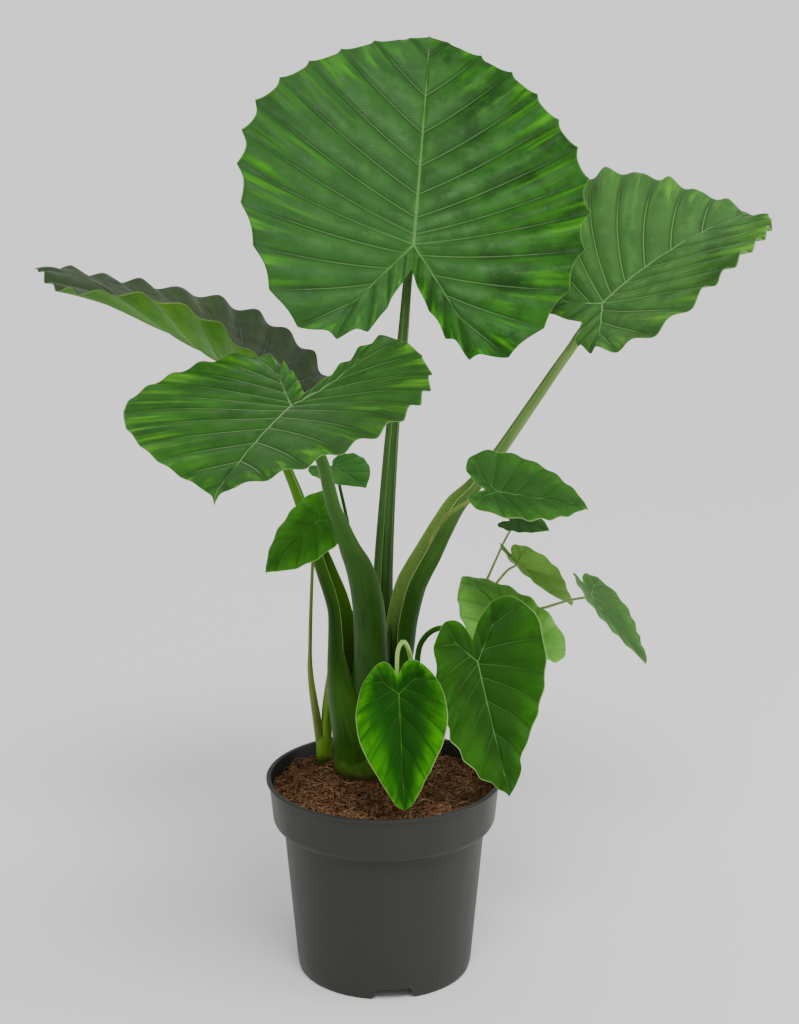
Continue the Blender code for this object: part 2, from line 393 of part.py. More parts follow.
def half_blade(leaf, side, rows):
    """Points of one half: columns from the tip round to the sinus, rows from the ribs out to the margin.

    The number of a column counts veins: a vein lies at each half, and the blade domes up between two. A
    column leaves the midrib, or past the joint the basal rib, and curves towards the tip. Its margin runs
    out at the veins and rises between them. The waves grow from mid-blade to their full height at the edge.
    """
    length = leaf["length"]
    on_midrib, on_lobe = leaf["veins"]
    lobe, last = on_midrib + on_lobe, on_midrib + 2 * on_lobe
    number = np.linspace(0, last, 2 * last + 1)
    outline = [(0, 1)] + leaf["left" if side < 0 else "right"] + [(0, leaf["sinus"])]
    share = np.interp(number, [0, on_midrib, lobe, last], [0, MIDRIB_SHARE, LOBE_SHARE, 1])
    margin = smooth_curve(outline, share) * length
    lobe_end = smooth_curve(outline, np.array([LOBE_SHARE]))[0] * length * LOBE_RIB
    out = np.clip(1 - np.abs(number - lobe) / on_lobe, 0, 1)
    up = np.clip(1 - number / on_midrib, 0, 1) ** VEIN_CROWDING * length
    rib = np.stack([lobe_end[0] * out, up + lobe_end[1] * out], -1)
    crests = leaf["crests"][0 if side < 0 else 1]
    ends = np.clip(2 * number, 0, 1) * np.clip(2 * (last - number), 0, 1)
    strength = np.interp(number / last, np.linspace(0, 1, len(crests)), crests) * ends
    chord = margin - rib
    reach = np.linalg.norm(chord, axis=1).clip(1e-6)
    between = np.abs(np.sin(math.pi * (number - 0.5)))
    margin = margin + chord * (leaf["scallop"] * (0.64 - between) * strength / reach)[:, None]
    margin[:, 0] = np.maximum(margin[:, 0], 0)
    chord = margin - rib
    aside = np.stack([np.abs(chord[:, 1]) * np.clip((on_midrib - number) / 1.5, 0, 1),
                      -chord[:, 0] * np.clip(lobe - number, 0, 1)], -1) * VEIN_BEND
    control = rib + chord / 2 + aside
    v = np.array(rows)[None, :, None]
    flat = (1 - v) ** 2 * rib[:, None] + 2 * v * (1 - v) * control[:, None] + v ** 2 * margin[:, None]
    v = np.array(rows)[None, :]
    spacing = np.linalg.norm(np.gradient(flat, number, axis=0), axis=-1).clip(0, WIDEST_DOME)
    dome = DOME * spacing * (between * ends)[:, None] * np.where(v > 0, 1 - v ** 4, 0)
    swell = np.clip((v - WAVE_START) / (1 - WAVE_START), 0, 1) ** 1.5
    wave = leaf["wave"] * ((2 * between - 1) * strength)[:, None] * swell
    tip = np.clip((flat[..., 1] / length - HOOK_START) / (1 - HOOK_START), 0, 1)
    lift = dome + wave - leaf["hook"] * length * tip ** 2
    return bent_blade(leaf, side, np.maximum(flat[..., 0], 0), flat[..., 1], lift)


def blade(name, leaf, thickness, rows, made_of):
    """A blade: both halves joined along the ribs, split into triangles, and thickened downwards."""
    points, faces = [], []
    for side in (-1, 1):
        start = len(points)
        half = half_blade(leaf, side, rows)
        columns, depth = half.shape[:2]
        points.extend(half.reshape(-1, 3))
        for i in range(columns - 1):
            for j in range(depth - 1):
                a = start + i * depth + j
                corners = (a, a + 1, a + depth + 1, a + depth)
                if side > 0:
                    corners = corners[::-1]
                faces.append((corners[0], corners[1], corners[2]))
                faces.append((corners[0], corners[2], corners[3]))
    made = mesh_object(name, points, faces, made_of)
    wall = made.modifiers.new("thickness", "SOLIDIFY")
    wall.thickness = thickness
    wall.offset = -1.0
    return made


def form_along(path, form):
    """The columns of a form, read at the shares of a path's length, each one row for a ring."""
    steps = np.linalg.norm(np.diff(path, axis=0), axis=1)
    share = np.concatenate([[0.0], np.cumsum(steps)]) / steps.sum()
    stops = np.array(form)
    return [np.interp(share, stops[:, 0], stops[:, k])[:, None] for k in range(1, stops.shape[1])]


def plain_section(width, depth, sides):
    """Rings of an ellipse: across, and towards the back."""
    turn = 2 * math.pi * np.arange(sides) / sides
    return width * np.sin(turn), depth * np.cos(turn)


def sheath_section(width, depth, wing, hug, wall, opening, groove):
    """Rings of a grooved or open stalk: across, and towards the back.

    A closed section is an ellipse with a groove in front. An open one is a back, half an ellipse, with two
    wings that run on past the middle by their length and close round as far as they hug. Its inner line lies
    inside by the wall. a goes from -1 at one wing's edge to 1 at the other, outside and then back inside.
    """
    outside = np.linspace(-1, 1, SHEATH_POINTS)[None, :]
    inside = -outside

    def line(a):
        turn = np.minimum(np.abs(a) / BACK_SHARE, 1) * math.pi / 2
        past = np.clip((np.abs(a) - BACK_SHARE) / (1 - BACK_SHARE), 0, 1) * math.pi / 2
        x = np.sign(a) * width * np.sin(turn) * (1 - hug * (1 - np.cos(past)))
        return np.stack([x, depth * np.cos(turn) - wing * np.sin(past)])

    slope = line(inside + SLOPE_REACH) - line(inside - SLOPE_REACH)
    slope /= np.hypot(*slope)
    thick = THIN_WALL + (wall - THIN_WALL).clip(0) * (1 - np.abs(inside)) ** 1.2
    inner = line(inside) + np.stack([slope[1], -slope[0]]) * thick
    opened = np.concatenate([line(outside), inner], 2)
    front_turn = math.pi - 0.9 * inside * (math.pi - CLOSED_TURN)
    turn = np.concatenate([outside * CLOSED_TURN, front_turn], 1)
    dip = np.concatenate([np.ones(outside.shape), 1 - groove * (1 - inside ** 2)], 1)
    closed = np.stack([width * np.sin(turn), depth * np.cos(turn) * dip])
    return closed + (opened - closed) * opening


def tube(path, back, section, end_normal=None, steady=False):
    """Points and faces of a closed body whose section is carried along a path.

    A steady section keeps its back to one side all the way; another one turns as little as it can.
    """
    tangents = np.gradient(path, axis=0)
    if end_normal is not None:
        tangents[-1] = end_normal
    tangents /= np.linalg.norm(tangents, axis=1)[:, None]
    outward = np.tile(np.array(back, float), (len(path), 1))
    for i, tangent in enumerate(tangents):
        facing = outward[i] if steady or i == 0 else outward[i - 1]
        facing = facing - tangent * (facing @ tangent)
        outward[i] = facing / np.linalg.norm(facing)
    across = np.cross(tangents, outward)
    x, y = section
    points = path[:, None] + x[..., None] * across[:, None] + y[..., None] * outward[:, None]
    rings, sides = x.shape
    faces = []
    for i in range(rings - 1):
        for j in range(sides):
            a, b = i * sides + j, i * sides + (j + 1) % sides
            faces.append((a, b, b + sides, a + sides))
    faces.append(tuple(reversed(range(sides))))
    faces.append(tuple(range((rings - 1) * sides, rings * sides)))
    return points.reshape(-1, 3), faces


def stalk(name, leaf, thickness, made_of):
    """The stalk of one leaf, which ends square under its blade."""
    data = STALKS[name]
    normal = blade_axes(leaf)[:, 2]
    seat = np.array(leaf["joint"]) - normal * (thickness + GAP)
    neck = seat - normal * data["form"][-1][1] * 1.6
    route = smooth_curve(data["path"] + [tuple(neck)], np.linspace(0, 1, data["rings"]))
    route = np.vstack([route, seat])
    form = form_along(route, data["form"])
    steady = "groove" in data
    if steady:
        section = sheath_section(*form, data["groove"])
    else:
        section = plain_section(*form, THIN_STALK_SIDES)
    points, faces = tube(route, data["back"], section, normal, steady)
    return mesh_object(name + "_stalk", points, faces, made_of)


def old_sheath(made_of):
    """The dried sheath beside the left offset."""
    route = smooth_curve(OLD_SHEATH["path"], np.linspace(0, 1, OLD_SHEATH["rings"]))
    section = plain_section(*form_along(route, OLD_SHEATH["form"]), THIN_STALK_SIDES)
    points, faces = tube(route, OLD_SHEATH["back"], section)
    return mesh_object("old_sheath", points, faces, made_of)


def crown(name, place, made_of):
    """A crown: straight where it stands in the soil, rounded above."""
    x, y, radius, top = place
    low = SOIL_HEIGHT - ROOT_DEPTH
    high = SOIL_HEIGHT + SOIL_MOUND + CROWN_SHOULDER
    heights = [low, low + 0.2 * radius, high, high + 0.35 * (top - high), high + 0.7 * (top - high), top]
    widths = radius * np.array([[0.75], [1.0], [1.0], [0.95], [0.80], [0.50]])
    path = np.array([(x, y, z) for z in heights])
    points, faces = tube(path, (1, 0, 0), plain_section(widths, widths, CROWN_SIDES))
    return mesh_object(name, points, faces, made_of)


def upright(x, y, radius, low, high, sides):
    """Points and faces of an upright prism."""
    path = np.array([(x, y, low), (x, y, high)])
    widths = np.full((2, 1), radius)
    return tube(path, (1, 0, 0), plain_section(widths, widths, sides))


def stem_group(name, place, names, leaves, made_of):
    """A crown with the stalks that grow from it, joined in one body."""
    body = crown(name, place, made_of)
    parts = bpy.data.collections.new(name + "_stalks")
    bpy.context.scene.collection.children.link(parts)
    pieces = [stalk(leaf_name, *leaves[leaf_name], made_of) for leaf_name in names]
    if place is LEFT_OFFSET:
        pieces.append(old_sheath(made_of))
    for piece in pieces:
        bpy.context.collection.objects.unlink(piece)
        parts.objects.link(piece)
    boolean(body, "UNION", parts)
    depsgraph = bpy.context.evaluated_depsgraph_get()
    joined = bpy.data.meshes.new_from_object(body.evaluated_get(depsgraph))
    body.modifiers.clear()
    body.data = joined
    for piece in list(parts.objects):
        bpy.data.objects.remove(piece)
    bpy.data.collections.remove(parts)
    return body


def turned(name, profile, sides, made_of):
    """A solid of revolution from a closed profile of (radius, height)."""
    turn = 2 * math.pi * np.arange(sides) / sides
    points, faces = [], []
    count = len(profile)
    for angle in turn:
        points.extend((r * math.cos(angle), r * math.sin(angle), z) for r, z in profile)
    for i in range(sides):
        here, after = i * count, (i + 1) % sides * count
        for j in range(count):
            k = (j + 1) % count
            if profile[j][0] == 0 and profile[k][0] == 0:
                continue
            faces.append((here + j, after + j, after + k, here + k))
    return mesh_object(name, points, faces, made_of)


def wall_radius(z):
    """Radius of the container's inner wall at a height."""
    collar_low = POT_HEIGHT - COLLAR_HEIGHT
    heights = [FLOOR_TOP, 0.020, collar_low - 0.006, collar_low + 0.004, POT_HEIGHT]
    radii = [BODY_FOOT_RADIUS - 0.0055, BODY_FOOT_RADIUS - WALL, SHOULDER_RADIUS - WALL,
             COLLAR_FOOT_RADIUS - WALL, COLLAR_RADIUS - WALL]
    return float(np.interp(z, heights, radii))


def container(made_of):
    """The container: base, foot, tapered wall, shoulder, collar and lip, with drain notches and holes."""
    collar_low = POT_HEIGHT - COLLAR_HEIGHT
    outside = [(0, 0), (0.050, 0), (0.054, CHANNEL_HEIGHT), (0.0875, CHANNEL_HEIGHT), (0.0905, 0),
               (FOOT_RADIUS - 0.002, 0), (FOOT_RADIUS, 0.001), (BODY_FOOT_RADIUS - 0.0012, 0.006),
               (BODY_FOOT_RADIUS, 0.016), (SHOULDER_RADIUS, collar_low - 0.0075),
               (SHOULDER_RADIUS + 0.0035, collar_low - 0.0045), (COLLAR_FOOT_RADIUS - 0.0018, collar_low),
               (COLLAR_FOOT_RADIUS, collar_low + 0.004), (COLLAR_RADIUS, POT_HEIGHT - LIP_HEIGHT - 0.0006),
               (RIM_RADIUS, POT_HEIGHT - LIP_HEIGHT), (RIM_RADIUS, POT_HEIGHT - 0.0006),
               (RIM_RADIUS - 0.0008, POT_HEIGHT)]
    inner_heights = [POT_HEIGHT, collar_low + 0.004, collar_low - 0.006, 0.020, FLOOR_TOP]
    inside = [(wall_radius(z), z) for z in inner_heights]
    floor = [(0.0575, FLOOR_TOP), (0.053, 0.0026), (0, 0.0026)]
    pot = turned("pot", outside + inside + floor, POT_SIDES, made_of)
    for i in range(DRAIN_SLOTS):
        turn = math.radians(DRAIN_SLOT_TURN + 360 / DRAIN_SLOTS * i)
        boolean(pot, "DIFFERENCE", slot_cutter(turn, made_of))
    for i in range(DRAIN_HOLES):
        turn = math.radians(DRAIN_SLOT_TURN + 360 / DRAIN_HOLES * (i + 0.5))
        boolean(pot, "DIFFERENCE", hole_cutter(turn, made_of))
    return pot


def slot_cutter(turn, made_of):
    """A wedge that cuts one notch through the foot: narrower at the top."""
    inner, outer, low, high = 0.086, 0.106, -0.004, CHANNEL_HEIGHT + 0.0012
    points = []
    for r in (inner, outer):
        for half, z in ((DRAIN_SLOT_FOOT / 2, low), (DRAIN_SLOT_TOP / 2, high)):
            for s in (-1, 1):
                x, y = r, s * half
                points.append((x * math.cos(turn) - y * math.sin(turn),
                               x * math.sin(turn) + y * math.cos(turn), z))
    faces = [(0, 1, 3, 2), (4, 6, 7, 5), (0, 4, 5, 1), (2, 3, 7, 6), (0, 2, 6, 4), (1, 5, 7, 3)]
    return cutter("slot_cutter", points, faces, made_of)


def hole_cutter(turn, made_of):
    """An eight-sided prism that cuts one drain hole through the floor."""
    x, y = DRAIN_HOLE_CIRCLE * math.cos(turn), DRAIN_HOLE_CIRCLE * math.sin(turn)
    points, faces = upright(x, y, DRAIN_HOLE_RADIUS, CHANNEL_HEIGHT - 0.004, FLOOR_TOP + 0.004, 8)
    return cutter("hole_cutter", points, faces, made_of)


def cutter(name, points, faces, made_of):
    """An object that only cuts others."""
    made = mesh_object(name, points, faces, made_of)
    work = bmesh.new()
    work.from_mesh(made.data)
    bmesh.ops.recalc_face_normals(work, faces=work.faces)
    work.to_mesh(made.data)
    work.free()
    return made


def soil_height(x, y):
    """Height of the bed: a low mound round the crown, with clods as sums of waves."""
    near = np.exp(-((x - MAIN_CROWN[0]) ** 2 + (y - MAIN_CROWN[1]) ** 2) / 0.06 ** 2)
    towards_viewer = 0.004 * np.clip(-y / 0.12, -0.5, 1)
    clods = (np.sin(61 * x + 17 * y) * np.sin(53 * y - 23 * x + 1.3) + 0.6 * np.sin(127 * x - 71 * y + 0.5)
             * np.sin(97 * y + 43 * x))
    return SOIL_HEIGHT + SOIL_MOUND * near + towards_viewer + SOIL_BUMP * clods


def coir_bed(made_of):
    """The bed of coir: it fills the container and has a plain hole for each crown."""
    sides = POT_SIDES
    turn = 2 * math.pi * np.arange(sides) / sides
    collar_low = POT_HEIGHT - COLLAR_HEIGHT
    points = [(0, 0, FLOOR_TOP + GAP)]
    for z in (FLOOR_TOP + GAP, 0.020, collar_low - 0.006, collar_low + 0.004):
        radius = wall_radius(z) - 2 * GAP
        points.extend((radius * math.cos(t), radius * math.sin(t), z) for t in turn)
    edge = wall_radius(SOIL_HEIGHT - 0.004) - 2 * GAP
    for share in np.linspace(1, 0, SOIL_RINGS + 1)[:-1]:
        radius = edge * share
        for t in turn:
            x, y = radius * math.cos(t), radius * math.sin(t)
            points.append((x, y, float(soil_height(x, y))))
    points.append((0, 0, float(soil_height(0, 0))))
    rings = 4 + SOIL_RINGS
    faces = []
    for j in range(sides):
        k = (j + 1) % sides
        faces.append((0, 1 + k, 1 + j))
        for i in range(rings - 1):
            a, b = 1 + i * sides, 1 + (i + 1) * sides
            faces.append((a + j, a + k, b + k))
            faces.append((a + j, b + k, b + j))
        top = 1 + (rings - 1) * sides
        faces.append((top + j, top + k, len(points) - 1))
    bed = mesh_object("soil", points, faces, made_of)
    for x, y, radius, top in (MAIN_CROWN, RIGHT_OFFSET, LEFT_OFFSET):
        points, faces = upright(x, y, radius + GAP, SOIL_HEIGHT - ROOT_DEPTH - GAP, top, CROWN_SIDES)
        boolean(bed, "DIFFERENCE", cutter("crown_hole", points, faces, made_of))
    return bed


def main():
    for old in list(bpy.data.objects):
        bpy.data.objects.remove(old)
    plastic = material("dark grey plastic", PLASTIC, 0.5)
    coir = material("coir", COIR, 0.95)
    green = material("stalk green", STALK_GREEN, 0.45)
    container(plastic)
    coir_bed(coir)
    leaves = {}
    for name, leaf in LARGE_LEAVES.items():
        leaves[name] = (leaf, LARGE_BLADE)
        made_of = material(name, LEAF_GREEN, 0.4)
        blade(name, leaf, LARGE_BLADE, LARGE_ROWS, made_of)
    for name, leaf in SMALL_LEAVES.items():
        leaves[name] = (leaf, SMALL_BLADE)
        made_of = material(name, YOUNG_GREEN, 0.4)
        blade(name, leaf, SMALL_BLADE, SMALL_ROWS, made_of)
    for name, (place, names) in STEM_GROUPS.items():
        stem_group(name, place, names, leaves, green)


main()
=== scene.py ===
import math

import bpy
import numpy as np
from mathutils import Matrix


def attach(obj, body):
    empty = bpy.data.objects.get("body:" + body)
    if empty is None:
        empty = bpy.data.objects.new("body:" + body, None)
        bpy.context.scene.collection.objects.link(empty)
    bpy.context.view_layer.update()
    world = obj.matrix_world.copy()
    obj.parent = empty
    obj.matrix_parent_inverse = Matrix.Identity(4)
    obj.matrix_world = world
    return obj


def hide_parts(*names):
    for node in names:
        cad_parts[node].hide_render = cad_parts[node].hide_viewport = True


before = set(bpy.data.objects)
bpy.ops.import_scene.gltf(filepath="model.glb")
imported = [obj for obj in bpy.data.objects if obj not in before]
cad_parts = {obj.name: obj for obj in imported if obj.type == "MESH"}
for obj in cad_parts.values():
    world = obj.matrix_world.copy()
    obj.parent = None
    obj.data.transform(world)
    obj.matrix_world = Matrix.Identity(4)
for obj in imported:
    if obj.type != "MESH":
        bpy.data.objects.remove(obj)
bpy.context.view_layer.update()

bl_info = {
    "name": "Potted upright elephant ear",
    "version": (1, 0, 0),
    "blender": (4, 5, 0),
    "location": "View3D > Sidebar > Plant",
    "description": "Leaves, stalks, crowns, coir and pot of a potted plant, dressed over its solids",
    "category": "Object",
}

# The same driving sizes as the solids have, in metres
GAP = 0.0003                      # clearance between pieces that touch
RIM_RADIUS = 0.135
POT_HEIGHT = 0.233
LIP_HEIGHT = 0.003
COLLAR_RADIUS = 0.1318
COLLAR_FOOT_RADIUS = 0.1275
COLLAR_HEIGHT = 0.052
SHOULDER_RADIUS = 0.1153
BODY_FOOT_RADIUS = 0.1016
FOOT_RADIUS = 0.0985
WALL = 0.0022
CHANNEL_HEIGHT = 0.012
FLOOR_TOP = 0.0148
COLLAR_LOW = POT_HEIGHT - COLLAR_HEIGHT
# Heights at which the inner wall changes its slope
WALL_HEIGHTS = (FLOOR_TOP, 0.020, COLLAR_LOW - 0.006, COLLAR_LOW + 0.004, POT_HEIGHT)
DRAIN_SLOTS = 3                   # notches cut in the foot
DRAIN_SLOT_TURN = -84.0           # degrees, the notch towards the viewer
DRAIN_SLOT_TOP = 0.036
DRAIN_SLOT_FOOT = 0.056
DRAIN_HOLES = 6
DRAIN_HOLE_RADIUS = 0.006
DRAIN_HOLE_CIRCLE = 0.072
SOIL_HEIGHT = 0.219               # at the wall
SOIL_MOUND = 0.016                # how much higher it is round the crown
SOIL_BUMP = 0.0022
# Crowns: the axis, the radius and the height of the top
MAIN_CROWN = (-0.0225, 0.020, 0.0355, 0.290)
RIGHT_OFFSET = (0.041, 0.018, 0.014, 0.264)
LEFT_OFFSET = (-0.070, 0.062, 0.0095, 0.262)
CROWN_SHOULDER = 0.012            # a crown is straight this far above the mound
MIDRIB_SHARE = 0.50               # share of a half margin whose veins start on the midrib
LOBE_SHARE = 0.80                 # where the veins have run out along the basal rib
LOBE_RIB = 0.72                   # how far the basal rib reaches towards the lobe's margin
VEIN_CROWDING = 1.8               # veins start closer together near the joint
VEIN_BEND = 0.06                  # how far a vein bends towards the tip, as a share of its length
DOME = 0.12                       # height of the blade between two veins, as a share of their spacing
WIDEST_DOME = 0.03                # spacing past which a dome grows no higher
WAVE_START = 0.55                 # the waves begin this far out from the ribs
HOOK_START = 0.90                 # the tip turns down from this share of the length
FOLD_START = 0.06                 # the midrib is this flat, as a share of the blade's length
LARGE_BLADE = 0.0012              # blade thicknesses
SMALL_BLADE = 0.0009

# Sizes that only the visible pieces have
CROWN_FOOT = 0.012                # how far a crown reaches into the bed
COLUMN_CROWDING = 0.68            # how much the columns of a blade crowd at its veins
REFERENCE_LENGTH = 0.28           # length of the blade that the widths and ridges hold for
VEIN_RIDGE = 0.00045              # ridges of its upper face, then of its lower
RIB_RIDGE = 0.0011
LOWER_VEIN = 0.0007
LOWER_RIB = 0.0024
OUTSIDE_POINTS = 49               # points of a stalk's section
INSIDE_POINTS = 33
CLOSED_BACK = 152                 # degrees from the back to where a closed section's front begins
BACK_SHARE = 0.55                 # share of an open section that is its back, the rest being its wings
EDGE_WALL = 0.0006                # wall at a wing's edge
EDGE_LINE = 0.0020                # width of the pale line along it
THIN_STALK = 0.0055               # half width below which a stalk has no such line
THIN_GROOVE = 0.1                 # how deep a stalk is grooved where its entry gives no other number
STALK_FOOT = 0.228                # heights below which stalks and the old sheath turn pale
SHEATH_FOOT = 0.235
# What a form's numbers are divided by, which gives shares and metres
FORM_UNITS = (1, 1000, 1000, 1000, 1, 1000, 1)
NOTCH_INNER = 0.086               # radii between which a drain notch is cut
NOTCH_OUTER = 0.106
WAXY_IOR = 1.22                   # of the skin of stalks and crowns

# Light and camera
SKY_STRENGTH = 0.75
LIGHT_TARGET = (0.0, 0.0, 0.6)
CAMERA_DISTANCE = 2.4
CAMERA_HEIGHT = 1.206
CAMERA_PITCH = 15.40              # degrees down
CAMERA_YAW = 0.42                 # degrees to the right

# Half outlines from the tip to the sinus: half width and distance along the midrib, in percent of the length
TOP_LEFT = [(7, 97), (26, 89), (49, 73), (65, 53), (70, 29), (67, 6), (59, -14), (49, -32), (37, -40),
            (23, -40), (12, -34), (6, -22)]
TOP_RIGHT = [(7, 97), (22, 89), (38, 78), (54, 58), (63, 41), (66, 20), (62, -8), (51, -30), (39, -41),
             (27, -43), (16, -36), (5, -21)]
FRONT_LEFT = [(3, 93), (12, 89), (34, 79), (55, 63), (70, 42), (75, 13), (69, -20), (52, -46), (33, -56),
              (18, -47), (7, -32)]
FRONT_RIGHT = [(3, 95), (13, 89), (30, 79), (51, 64), (71, 43), (80, 20), (77, -12), (64, -43), (46, -57),
               (29, -54), (13, -37)]
SIDE_LEFT = [(5, 98), (22, 87), (40, 78), (58, 66), (70, 50), (74, 27), (69, 2), (58, -17), (43, -27),
             (29, -28), (16, -21), (7, -17)]
SIDE_RIGHT = [(19, 93), (37, 79), (51, 57), (60, 32), (64, 10), (60, -6), (51, -20), (37, -28), (21, -29),
              (9, -24)]
TROUGH = [(7, 96), (24, 85), (42, 70), (55, 50), (61, 28), (61, 5), (54, -15), (42, -29), (28, -33),
          (14, -27), (6, -18)]
HEART = [(8, 94), (20, 74), (36, 44), (41, 19), (36, -5), (26, -20), (15, -28), (7, -26)]
WIDE_HEART = [(10, 91), (28, 73), (44, 46), (52, 14), (50, -12), (40, -29), (25, -34), (11, -27)]
LONG_HEART_LEFT = [(10, 90), (17, 74), (28, 59), (40, 41), (48, 24), (53, 5), (54, -12), (49, -29),
                   (38, -40), (26, -41), (12, -33)]
LONG_HEART_RIGHT = [(4, 95), (18, 83), (30, 66), (37, 47), (39, 21), (37, -2), (33, -17), (25, -30),
                    (14, -34), (5, -29)]

# One entry for each leaf, lengths in millimetres. joint: where the stalk meets the blade. turns: the heading
# of the tip in degrees from +X, anticlockwise, its rise, and the turn about it, right side down. length: from
# joint to tip. sinus: where the notch between the lobes ends, in percent of the length. halves: left and
# right outline. fold: degrees that each half rises from the midrib. curl: how that rise grows across a half,
# in radians a metre. droop: how the blade bends down towards the tip, and lobe_droop towards each lobe, in
# radians a metre. veins: how many leave the midrib and each basal rib on a side. wave and scallop: how far
# the margin rises between the veins and runs out at them. hook: how far the very tip turns down, as a share
# of the length. crests: how strong wave and scallop are from the tip round to the sinus, left and right.
# colours: dark, light, dull inner part (also the painted sheen on the left half and, made paler, between the
# veins), streak and vein of the upper face, and the lower face.
LARGE_LEAVES = {
    "leaf_top": dict(
        joint=(33, 30, 837), turns=(82, 54, 12), length=281, sinus=-10, halves=(TOP_LEFT, TOP_RIGHT),
        fold=(6, 7), droop=0.55, lobe_droop=(1.2, 1.4), veins=(8, 4), wave=3.6, scallop=9.5, hook=0.01,
        crests=((0.3, 1, 1, 1, 1, 1.1, 1.2, 1, 0.7, 0.5, 0.5, 0.6, 0.9, 0.9, 0.5, 0.2, 0),
                (0.3, 1.1, 1.2, 1.2, 1, 1, 1, 1.1, 1.1, 0.9, 0.6, 0.6, 1, 1.1, 0.4, 0.2, 0)),
        colours="193f0f 2f681c 38612e 479c12 5f8f45 4f7f33"),
    "leaf_right": dict(
        joint=(245, 80, 764), turns=(24, 38, 10), length=229, sinus=-14, halves=(SIDE_LEFT, SIDE_RIGHT),
        fold=(20, 12), droop=2.2, lobe_droop=(-3.6, -2.6), veins=(7, 3), wave=6.2, scallop=1.4, hook=0.05,
        crests=((0.2, 0.7, 0.2, 1.1, 0.1, 1.2, 1, 0.6, 0.8, 0.8, 0.6, 0.4, 0.2, 0),
                (0.2, 1, 0.8, 1, 0.6, 0.9, 0.6, 0.9, 0.8, 0.8, 0.9, 0.6, 0.2, 0)),
        colours="2d5220 467432 48753a 66ac2f 84ae68 5d8a3c"),
    "leaf_front": dict(
        joint=(-94, -158, 701), turns=(-111, -9, 10), length=205, sinus=-17,
        halves=(FRONT_LEFT, FRONT_RIGHT), fold=(1, 14), droop=0.8, lobe_droop=(-4.5, -0.5), veins=(7, 4),
        wave=3.4, scallop=3, hook=0.03,
        crests=((0, 0.5, 0.8, 0.9, 1, 1, 1, 1, 1, 1, 1.3, 1.5, 1.3, 0.9, 0.4, 0),
                (0, 0.3, 0.3, 0.3, 0.4, 0.4, 0.4, 0.5, 0.6, 0.8, 1.1, 1.5, 1.6, 1, 0.4, 0)),
        colours="1f4c12 346c1e 315723 5ca61c 7ea862 5d8a3c"),
    "leaf_left": dict(
        joint=(-159, 140, 679), turns=(163, 28.5, 8), length=279, sinus=-12, halves=(TROUGH, TROUGH),
        fold=(-9, -2), curl=(5.9, 2.4), droop=0.6, lobe_droop=(2.2, 2.9), veins=(6, 4), wave=5, scallop=1.4,
        hook=0.03,
        crests=((0.2, 0.8, 0.6, 0.9, 0.6, 0.9, 0.7, 0.9, 1, 0.8, 0.8, 0.6, 0.4, 0.2, 0),
                (0.3, 1, 0.8, 1.2, 0.7, 1.1, 1.2, 0.8, 1.2, 0.9, 1, 0.8, 0.5, 0.2, 0)),
        colours="2a3c1e 374b29 314325 39542b 6a765c 3f7906"),
}
